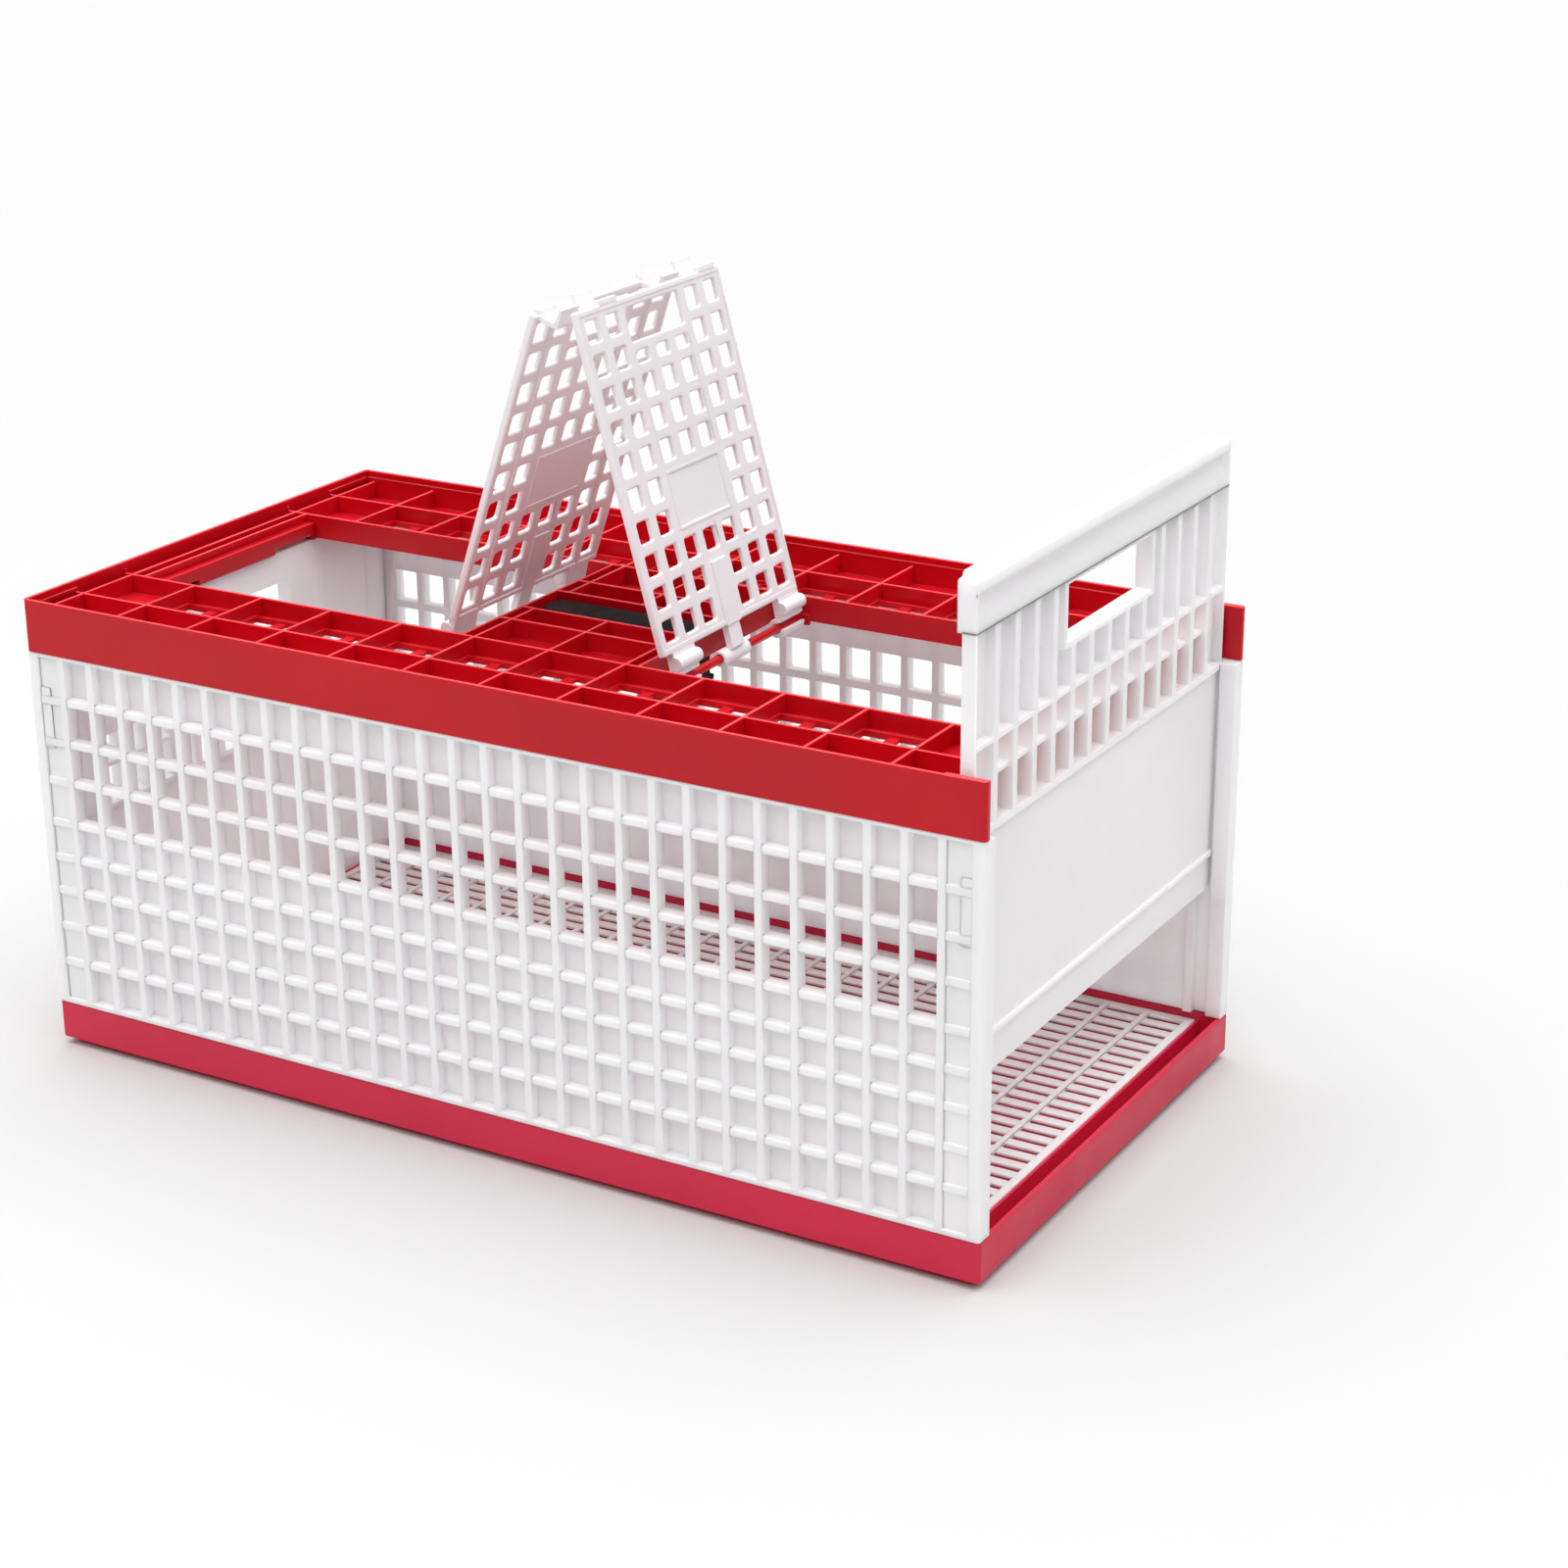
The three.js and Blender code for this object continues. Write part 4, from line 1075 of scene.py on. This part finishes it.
def top_frame_shell(size):
    """The skirt, the ribbed deck with its vents and openings, and the gate's gap."""
    over, under = size.top + OVERRUN, size.bottom - OVERRUN
    half_x, half_y = HALF_LENGTH, HALF_WIDTH
    inner_x, inner_y = size.wall - half_x, half_y - size.wall
    rail = RIGHT_OPENING[1]
    ledge, ledge_height = 0.9, 3
    outer_opening = OPENING_HALF + size.rib

    top = Moulding()
    top.add(-half_x, half_x, -half_y, half_y, size.bottom, size.top)
    top.cut(inner_x, rail, -inner_y, inner_y, under, over)
    top.add(inner_x, rail, -inner_y, inner_y, DECK_UNDERSIDE, RIB_TOP)
    for x0, x1 in OPENINGS:
        top.add(
            x0 - size.rib, min(x1 + size.rib, rail + 1.7), -outer_opening,
            outer_opening, DECK_UNDERSIDE - 2.5, DECK_UNDERSIDE + 1)
    ledge_z = (RIB_TOP, RIB_TOP + ledge_height)
    top.add(inner_x, rail, inner_y - ledge, inner_y, *ledge_z, mirror="y")
    top.add(inner_x, inner_x + ledge, -inner_y, inner_y, *ledge_z)

    mid, half_rib = 146.5, size.rib / 2
    whole = (inner_x, rail)
    rib_pockets(top, size, whole, (mid + half_rib, inner_y - ledge), RIB_TOP)
    rib_pockets(top, size, whole, (outer_opening, mid - half_rib), over)
    bridge = (LEFT_OPENING[1] + size.rib, RIGHT_OPENING[0] - size.rib)
    well, bridge_rib, bridge_ribs = 20, 3, (20, 47.5)
    for inside, outside in zip(bridge_ribs, (*bridge_ribs[1:], OPENING_HALF)):
        rib_pockets(top, size, bridge, (inside + bridge_rib, outside), over)
    top.cut(*bridge, -well, well, DECK, over)
    for x0, x1 in (
        (inner_x, CROSS_RIB_START - 1.5),
        (CROSS_RIB_START + 1.5, LEFT_OPENING[0] - size.rib),
    ):
        top.cut(x0, x1, -OPENING_HALF, OPENING_HALF, DECK, over)
    vents(top, size)
    for x0, x1 in OPENINGS:
        top.cut(x0, x1, -OPENING_HALF, OPENING_HALF, size.bottom, over)

    slot_x, slot_y = 7.6, 8.1
    for x in LEG_PLACES:
        top.cut(
            x - slot_x, x + slot_x, -slot_y, slot_y, DECK_UNDERSIDE - OVERRUN,
            DECK + OVERRUN)
    lug_half, lug_foot = 7.5, ROD_HEIGHT - 5.5
    for x in (LEFT_ROD, RIGHT_ROD):
        top.add(
            x - lug_half, x + lug_half, OPENING_HALF - 1, outer_opening + 0.1,
            lug_foot, DECK, mirror="y")
    gap_y, gap_end = 192, half_x + OVERRUN
    top.cut(rail + 3, gap_end, -gap_y, gap_y, under, over)
    top.cut(rail - 3, rail + 4.7, -gap_y, gap_y, RIB_TOP, over)

    top.round_upright(half_x, half_y, size.corner)
    return blocks_shell(
        top, lambda points: round_corners(points, half_x, half_y, size.corner))


class CRATE_OT_top_frame(bpy.types.Operator):
    """Builds the red top frame with its catch beams"""

    bl_idname = "crate.top_frame"
    bl_label = "Top frame"

    def execute(self, context):
        size = millimetres(context.scene.crate_frame)
        piece = finish_mesh("frame_moulding", top_frame_shell(size), size.edge)
        place_piece(piece, "crate", "top_frame", "frame plastic")
        for name, face, side in CATCH_FACES:
            beam = finish_mesh(
                f"{name}_catch_beam", catch_beam_shell(face, side), size.edge, unrounded)
            beam.data.materials.append(plastic("frame plastic"))
            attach(beam, "crate")
        return {"FINISHED"}


class CRATE_OT_hinge_rods(bpy.types.Operator):
    """Builds the two round hinge rods"""

    bl_idname = "crate.hinge_rods"
    bl_label = "Hinge rods"

    def execute(self, context):
        size = millimetres(context.scene.crate_frame)
        half = OPENING_HALF + 3
        for name, x in (("left", LEFT_ROD), ("right", RIGHT_ROD)):
            shell = prism_y(circle(x, ROD_HEIGHT, size.rod, steps=40), -half, half)
            piece = finish_mesh(f"{name}_rod", shell, size.edge, unrounded)
            place_piece(
                piece, "crate", f"{name}_hinge_rod", "frame plastic")
        return {"FINISHED"}


# Lids


# A closed lid lies along +X from its hinge axis, its outer face up

LID_TOP = -3.0
LID_RIM = -2.0
LID_ROWS, LID_COLUMNS = 10, 7
LABEL_ROWS = (3, 4)
BORE = 3.3
HUB = 5.7
CLIP = 6.8


def lid_hole_length(size, row, away):
    """Length of a hole, or 0 where the lid has the label, window or strut."""
    beside_middle = away <= 1
    if row in LABEL_ROWS and beside_middle:
        return 0
    if (row < 2 and away == 0) or (row == LID_ROWS - 1 and beside_middle):
        return 0
    return 8 if row == LID_ROWS - 2 and beside_middle else size.hole_length


def lid_plate_shell(size):
    """The lattice plate with its rim, blank label, window and strut plate."""
    start, end = size.arm, size.arm + size.plate
    half, bottom = size.half_width, LID_TOP - size.thickness
    under, over = bottom - OVERRUN, LID_RIM + OVERRUN
    border, bottom_border, bottom_step = 4, 3, 0.45

    lid = Moulding()
    lid.add(start, end, -half, half, bottom, LID_RIM)
    lid.cut(
        start + border, end - border, border - half, half - border, LID_TOP, over)
    lid.cut(
        start + border, end - border, bottom_border - half, half - bottom_border,
        under, bottom + bottom_step)
    bar, half_bar = 60.7, 1.3
    lid.add(
        start + border, end - border, bar - half_bar, bar + half_bar, LID_TOP,
        LID_RIM, mirror="y")

    first_row, middle_column = start + 15, LID_COLUMNS // 2
    half_hole = size.hole_width / 2
    for row in range(LID_ROWS):
        x0 = first_row + size.row_pitch * row - size.hole_length / 2
        for column in range(-middle_column, middle_column + 1):
            reach = lid_hole_length(size, row, abs(column))
            if reach:
                y = column * size.column_pitch
                lid.cut(x0, x0 + reach, y - half_hole, y + half_hole, under, over)

    label_y, label_edge = 33, 2
    last = first_row + size.row_pitch * (LID_ROWS - 1)
    window_back, window_front = 15, 7.5
    lid.cut(last - window_back, last + window_front, -label_y, label_y, under, over)
    label0, label1 = (
        first_row + size.row_pitch * row + side * 9
        for row, side in zip(LABEL_ROWS, (-1, 1)))
    lid.add(label0, label1, -label_y, label_y, bottom + 0.1, LID_TOP + 0.7)
    field = (label0 + label_edge, label1 - label_edge, label_edge - label_y,
             label_y - label_edge)
    lid.cut(*field, LID_TOP + 0.1, LID_RIM)
    lid.cut(*field, bottom - 1, bottom + 1.1)
    strut_length, half_strut = 44.8, 9
    lid.add(
        start, start + strut_length, -half_strut, half_strut, bottom - 1, LID_RIM)
    return blocks_shell(lid)


def lid_shells(size):
    """Clips, hub, strut and forks as shells in the closed lid's own frame."""
    bottom = LID_TOP - size.thickness
    start, end = size.arm, size.arm + size.plate
    shells = []
    clip = circle(0, 0, CLIP, -54, 261, steps=35)
    clip += circle(0, 0, BORE, 252, -18, steps=27)
    roll = circle(13, bottom + 0.3, 5, steps=24)
    arm = filleted(
        [(4.8, bottom + 0.3), (start + 4, bottom + 0.3), (start + 4, -1.9),
         (5.2, -0.6)], 0.8)
    for y0, y1 in ((-78, -50), (60, 88)):
        shells.append(prism_y(clip, y0, y1))
        shells.append(prism_y(roll, y0, y1))
        shells.append(prism_y(arm, y0 + 0.4, y1 - 0.4))
    shells.append(sleeve_shell(17, 0.7))
    strut = filleted(
        [(3.9, LID_RIM), (3.9, bottom), (start + 5, bottom), (start + 5, LID_RIM)], 1.4)
    shells.append(prism_y(strut, -7.5, 7.5))

    root, root_z, lip = end - 4, bottom + 0.1, 262.6
    upper = filleted([
        (root, root_z), (end - 0.1, root_z), (end, 9.6), (lip, 10.7), (lip, 13.2),
        (end - 2.2, 13.3), (root, 12.2)],
        [0.5, 0.5, 1.2, 0.9, 0.9, 1.4, 1.4])
    lower = filleted(
        [(root, root_z), (255.2, root_z), (255.2, -3.1), (root, -3.1)], 1.0)
    for y0, y1 in ((-60.5, -39.5), (62.5, 83.5)):
        shells.append(prism_y(upper, y0, y1))
        shells.append(prism_y(lower, y0, y1))
    return shells


def sleeve_shell(half, rounding):
    """The hub's round sleeve about the hinge axis, its ends rounded off."""
    unit = circle(0, 0, 1, steps=30)
    mouth = BORE * (1 + rounding / HUB) * 0.98
    end = [
        (BORE, half - rounding), (mouth, half), (HUB - rounding, half),
        (HUB, half - rounding)]
    profile = [(radius, -y) for radius, y in end] + end[::-1]
    rings = [[(x * radius, y, z * radius) for x, z in unit] for radius, y in profile]
    return loft(rings + [rings[0]], closed_ends=False)


def lid_edge_weights(plate_count):
    """Hole and border edges are round, low steps and the fittings' ends crisp."""
    fittings, low_steps, low = 0.42, 0.22, 2

    def weigh(line):
        if max(vert.index for vert in line.verts) >= plate_count:
            return fittings
        for face in line.link_faces:
            heights = [vert.co.z for vert in face.verts]
            if abs(face.normal.z) < 0.5 and max(heights) - min(heights) < low:
                return low_steps
        return 1.0

    return weigh


class CRATE_OT_lids(bpy.types.Operator):
    """Builds the two lattice lids in their open places"""

    bl_idname = "crate.lids"
    bl_label = "Lids"

    def execute(self, context):
        size = millimetres(context.scene.crate_lids)
        for side, x, turn, swing in (
            ("right", RIGHT_ROD, 0.0, size.right_angle),
            ("left", LEFT_ROD, math.pi, size.left_angle),
        ):
            lid = lid_plate_shell(size)
            count = len(lid.verts)
            join_shells(lid, lid_shells(size))
            bmesh.ops.remove_doubles(lid, verts=list(lid.verts)[count:], dist=0.001)
            lid.verts.index_update()
            piece = finish_mesh(
                f"{side}_lid_moulding", lid, size.edge, lid_edge_weights(count),
                segments=3)
            piece.data.transform(
                Matrix.Translation(Vector((x, 0, ROD_HEIGHT)) * MM)
                @ Matrix.Rotation(turn, 4, "Z")
                @ Matrix.Rotation(-swing, 4, "Y"))
            place_piece(
                piece, f"{side}_lid_body", f"{side}_lid", "lid plastic")
        return {"FINISHED"}


# Handle


def grip_shell(size, z0, z1):
    """A bar with round corners, its edges eased more above than below."""
    corner, crown, under = 9, size.crown, size.crown * 0.4

    def outline(inset, z):
        radius = max(corner - inset, 0.5)
        x, y = size.length / 2 - inset - radius, size.width / 2 - inset - radius
        centres = [(x, y), (-x, y), (-x, -y), (x, -y)]
        points = []
        for quarter, (centre_x, centre_y) in enumerate(centres):
            for step in range(9):
                angle = math.pi / 2 * (quarter + step / 8)
                points.append((
                    BRIDGE_MIDDLE + centre_x + radius * math.cos(angle),
                    centre_y + radius * math.sin(angle), z))
        return points

    steps = 5
    angles = [math.pi / 2 * step / steps for step in range(steps + 1)]
    return loft(
        [outline(under * (1 - math.sin(a)), z0 + under * (1 - math.cos(a)))
         for a in angles]
        + [outline(crown * (1 - math.cos(a)), z1 - crown * (1 - math.sin(a)))
           for a in angles])


class CRATE_OT_handle(bpy.types.Operator):
    """Builds the black carry handle with its two legs"""

    bl_idname = "crate.handle"
    bl_label = "Carry handle"

    def execute(self, context):
        size = millimetres(context.scene.crate_handle)
        foot, leg_top, grip_foot = HANDLE_FOOT, HANDLE_TOP - 4, HANDLE_TOP - 10.2
        half_x, half_y, head_half_y, head_height = 7, 7.5, 12.5, 4
        legs = Moulding()
        for x in LEG_PLACES:
            x0, x1 = x - half_x, x + half_x
            legs.add(x0, x1, -half_y, half_y, foot, leg_top)
            legs.add(x0, x1, -head_half_y, head_half_y, foot, foot + head_height)
        shell = blocks_shell(legs)
        count = len(shell.verts)
        join_shells(shell, [grip_shell(size, grip_foot, HANDLE_TOP)])
        shell.verts.index_update()

        def weigh(line):
            return 1.0 if max(v.index for v in line.verts) < count else 0.0

        piece = finish_mesh("handle_moulding", shell, size.edge, weigh)
        place_piece(piece, "handle", "carry_handle", "black plastic")
        return {"FINISHED"}


class CRATE_OT_plastics(bpy.types.Operator):
    """Mixes the crate's plastics"""

    bl_idname = "crate.plastics"
    bl_label = "Plastics"

    def execute(self, context):
        tones = context.scene.crate_colours
        moulded_grain_group()
        handling_marks_group()
        ridge_tops_group()
        frame_plastic = moulded_plastic(
            "frame plastic", tuple(tones.frame_red), deep=0.9, pale=1.08,
            gloss=(0.3, 0.4), grain=900, bump=0.12, shine=0.3,
            scatter=((1.0, 0.1, 0.14), 0.004))
        # The frame's rib and rim tops get a painted highlight in a paler red
        just_under_ribs = (RIB_TOP - 0.3) * MM
        paint_ridge_highlights(frame_plastic, just_under_ribs, tuple(tones.rubbed_red))
        moulded_plastic(
            "tray plastic", tuple(tones.tray_red), deep=0.92, pale=1.07,
            gloss=(0.36, 0.46), grain=900, bump=0.14, shine=0.4)
        for name, scatter in (
            ("white plastic", ((1.0, 0.96, 1.0), 0.008)), ("lid plastic", None),
        ):
            moulded_plastic(
                name, tuple(tones.wall_white), deep=0.965, pale=1.03,
                gloss=(0.34, 0.46), grain=1000, bump=0.1, shine=0.4, scatter=scatter)
        moulded_plastic(
            "black plastic", tuple(tones.handle_black), deep=0.8, pale=1.9,
            gloss=(0.38, 0.52), grain=700, bump=0.3, shine=0.1)
        return {"FINISHED"}


# Stage


CAMERA_TARGET = (-0.0004, 0.2107, 0.1362)
CAMERA_DISTANCE = 2.4701
CAMERA_AZIMUTH = math.radians(30.211)
CAMERA_ELEVATION = math.radians(20.594)
CAMERA_ROLL = math.radians(0.398)
CAMERA_LENS = 74.095
SKY_LIGHT = 1.05
OVERHEAD_LIGHT = 1.8
BACKDROP = (1.05, 1.05, 1.05, 1)
KEY_PLACE = (-1.2, -2.8, 2.0)
KEY_AIM = (0, 0, 0.15)
KEY_SIZE = (1.5, 1.2)
KEY_POWER = 8
FLOOR_REACH = 14.0
FLOOR_DROP = 0.0004


def add_camera():
    back = Vector((
        math.cos(CAMERA_ELEVATION) * math.sin(CAMERA_AZIMUTH),
        -math.cos(CAMERA_ELEVATION) * math.cos(CAMERA_AZIMUTH),
        math.sin(CAMERA_ELEVATION)))
    look = -back
    right = look.cross(Vector((0, 0, 1))).normalized()
    down = look.cross(right)
    turned_right = math.cos(CAMERA_ROLL) * right + math.sin(CAMERA_ROLL) * down
    turned_down = -math.sin(CAMERA_ROLL) * right + math.cos(CAMERA_ROLL) * down
    axes = Matrix((turned_right, -turned_down, -look)).transposed().to_4x4()
    data = bpy.data.cameras.new("camera")
    data.lens = CAMERA_LENS
    data.sensor_width = 36
    data.sensor_fit = "HORIZONTAL"
    data.clip_start = 0.05
    data.clip_end = 50
    camera = bpy.data.objects.new("camera", data)
    bpy.context.scene.collection.objects.link(camera)
    camera.matrix_world = (
        Matrix.Translation(Vector(CAMERA_TARGET) + back * CAMERA_DISTANCE) @ axes)
    bpy.context.scene.camera = camera


def add_key_light():
    data = bpy.data.lights.new("key", "AREA")
    data.shape = "RECTANGLE"
    data.size, data.size_y = KEY_SIZE
    data.energy = KEY_POWER
    lamp = bpy.data.objects.new("key", data)
    bpy.context.scene.collection.objects.link(lamp)
    lamp.location = KEY_PLACE
    way = Vector(KEY_AIM) - Vector(KEY_PLACE)
    lamp.rotation_euler = way.to_track_quat("-Z", "Y").to_euler()


def studio_dome(world):
    """Light from above that fades to the horizon, with a white backdrop."""
    tree = world.node_tree
    sky = tree.nodes["Background"]
    set_inputs(sky, {"Strength": 1.0})
    where = add_node(tree, "TexCoord")
    split = add_node(tree, "SeparateXYZ")
    summed = add_node(tree, "Math", operation="ADD")
    for socket, (low, high, strength) in enumerate((
        (0.15, 0.75, SKY_LIGHT), (0.5, 1.0, OVERHEAD_LIGHT),
    )):
        height = add_node(
            tree, "MapRange", interpolation_type="SMOOTHSTEP",
            values={"From Min": low, "From Max": high, "To Max": strength})
        link_all(tree, (split, "Z", height, "Value"), (height, "Result", summed, socket))
    seen = add_node(tree, "LightPath")
    backdrop = add_node(tree, "Mix", {"B": BACKDROP}, data_type="RGBA")
    link_all(
        tree,
        (where, "Generated", split, "Vector"),
        (summed, 0, backdrop, "A"),
        (seen, "Is Camera Ray", backdrop, "Factor"),
        (backdrop, "Result", sky, "Color"))


def add_floor(tone):
    mesh = bpy.data.meshes.new("floor")
    corners = [(-1, -1), (1, -1), (1, 1), (-1, 1)]
    mesh.from_pydata(
        [(x * FLOOR_REACH, y * FLOOR_REACH, 0) for x, y in corners], [],
        [(0, 1, 2, 3)])
    floor = bpy.data.objects.new("floor", mesh)
    bpy.context.scene.collection.objects.link(floor)
    floor.location.z = -FLOOR_DROP
    material = bpy.data.materials.new("studio floor")
    material.use_nodes = True
    set_inputs(material.node_tree.nodes["Principled BSDF"], {
        "Base Color": tone, "Roughness": 0.9, "Specular IOR Level": 0.1})
    mesh.materials.append(material)


class CRATE_OT_stage(bpy.types.Operator):
    """Builds the pale floor, the soft studio light and the camera"""

    bl_idname = "crate.stage"
    bl_label = "Stage"

    def execute(self, context):
        add_camera()
        add_floor(context.scene.crate_colours.floor)
        world = context.scene.world or bpy.data.worlds.new("studio")
        context.scene.world = world
        world.use_nodes = True
        studio_dome(world)
        add_key_light()
        context.scene.view_settings.view_transform = "Standard"
        return {"FINISHED"}


class CRATE_PT_pieces(bpy.types.Panel):
    """Lists the crate's pieces and their sizes"""

    bl_idname = "CRATE_PT_pieces"
    bl_label = "Pigeon crate"
    bl_space_type = "VIEW_3D"
    bl_region_type = "UI"
    bl_category = "Pigeon crate"

    def draw(self, context):
        for operator in OPERATORS:
            self.layout.operator(operator.bl_idname)
        for name in SIZE_GROUPS:
            group = getattr(context.scene, name)
            column = self.layout.column(align=True)
            for prop in group.bl_rna.properties:
                if prop.identifier not in {"rna_type", "name"}:
                    column.prop(group, prop.identifier)


SIZE_GROUPS = {
    "crate_walls": CrateWallSizes,
    "crate_panels": CratePanelSizes,
    "crate_frame": CrateFrameSizes,
    "crate_tray": CrateTraySizes,
    "crate_lids": CrateLidSizes,
    "crate_handle": CrateHandleSizes,
    "crate_colours": CrateColours,
}
OPERATORS = (
    CRATE_OT_stage,
    CRATE_OT_plastics,
    CRATE_OT_tray,
    CRATE_OT_grate,
    CRATE_OT_long_walls,
    CRATE_OT_left_end,
    CRATE_OT_top_frame,
    CRATE_OT_hinge_rods,
    CRATE_OT_gate,
    CRATE_OT_lids,
    CRATE_OT_handle,
)


def register():
    for group in SIZE_GROUPS.values():
        bpy.utils.register_class(group)
    for name, group in SIZE_GROUPS.items():
        setattr(bpy.types.Scene, name, PointerProperty(type=group))
    for operator in OPERATORS:
        bpy.utils.register_class(operator)
    bpy.utils.register_class(CRATE_PT_pieces)


def unregister():
    bpy.utils.unregister_class(CRATE_PT_pieces)
    for operator in reversed(OPERATORS):
        bpy.utils.unregister_class(operator)
    for name, group in reversed(SIZE_GROUPS.items()):
        delattr(bpy.types.Scene, name)
        bpy.utils.unregister_class(group)


def main():
    register()
    bpy.ops.crate.stage()
    bpy.ops.crate.plastics()
    bpy.ops.crate.tray()
    bpy.ops.crate.grate()
    bpy.ops.crate.long_walls()
    bpy.ops.crate.left_end()
    bpy.ops.crate.top_frame()
    bpy.ops.crate.hinge_rods()
    bpy.ops.crate.gate()
    bpy.ops.crate.lids()
    bpy.ops.crate.handle()


if __name__ == "__main__":
    main()
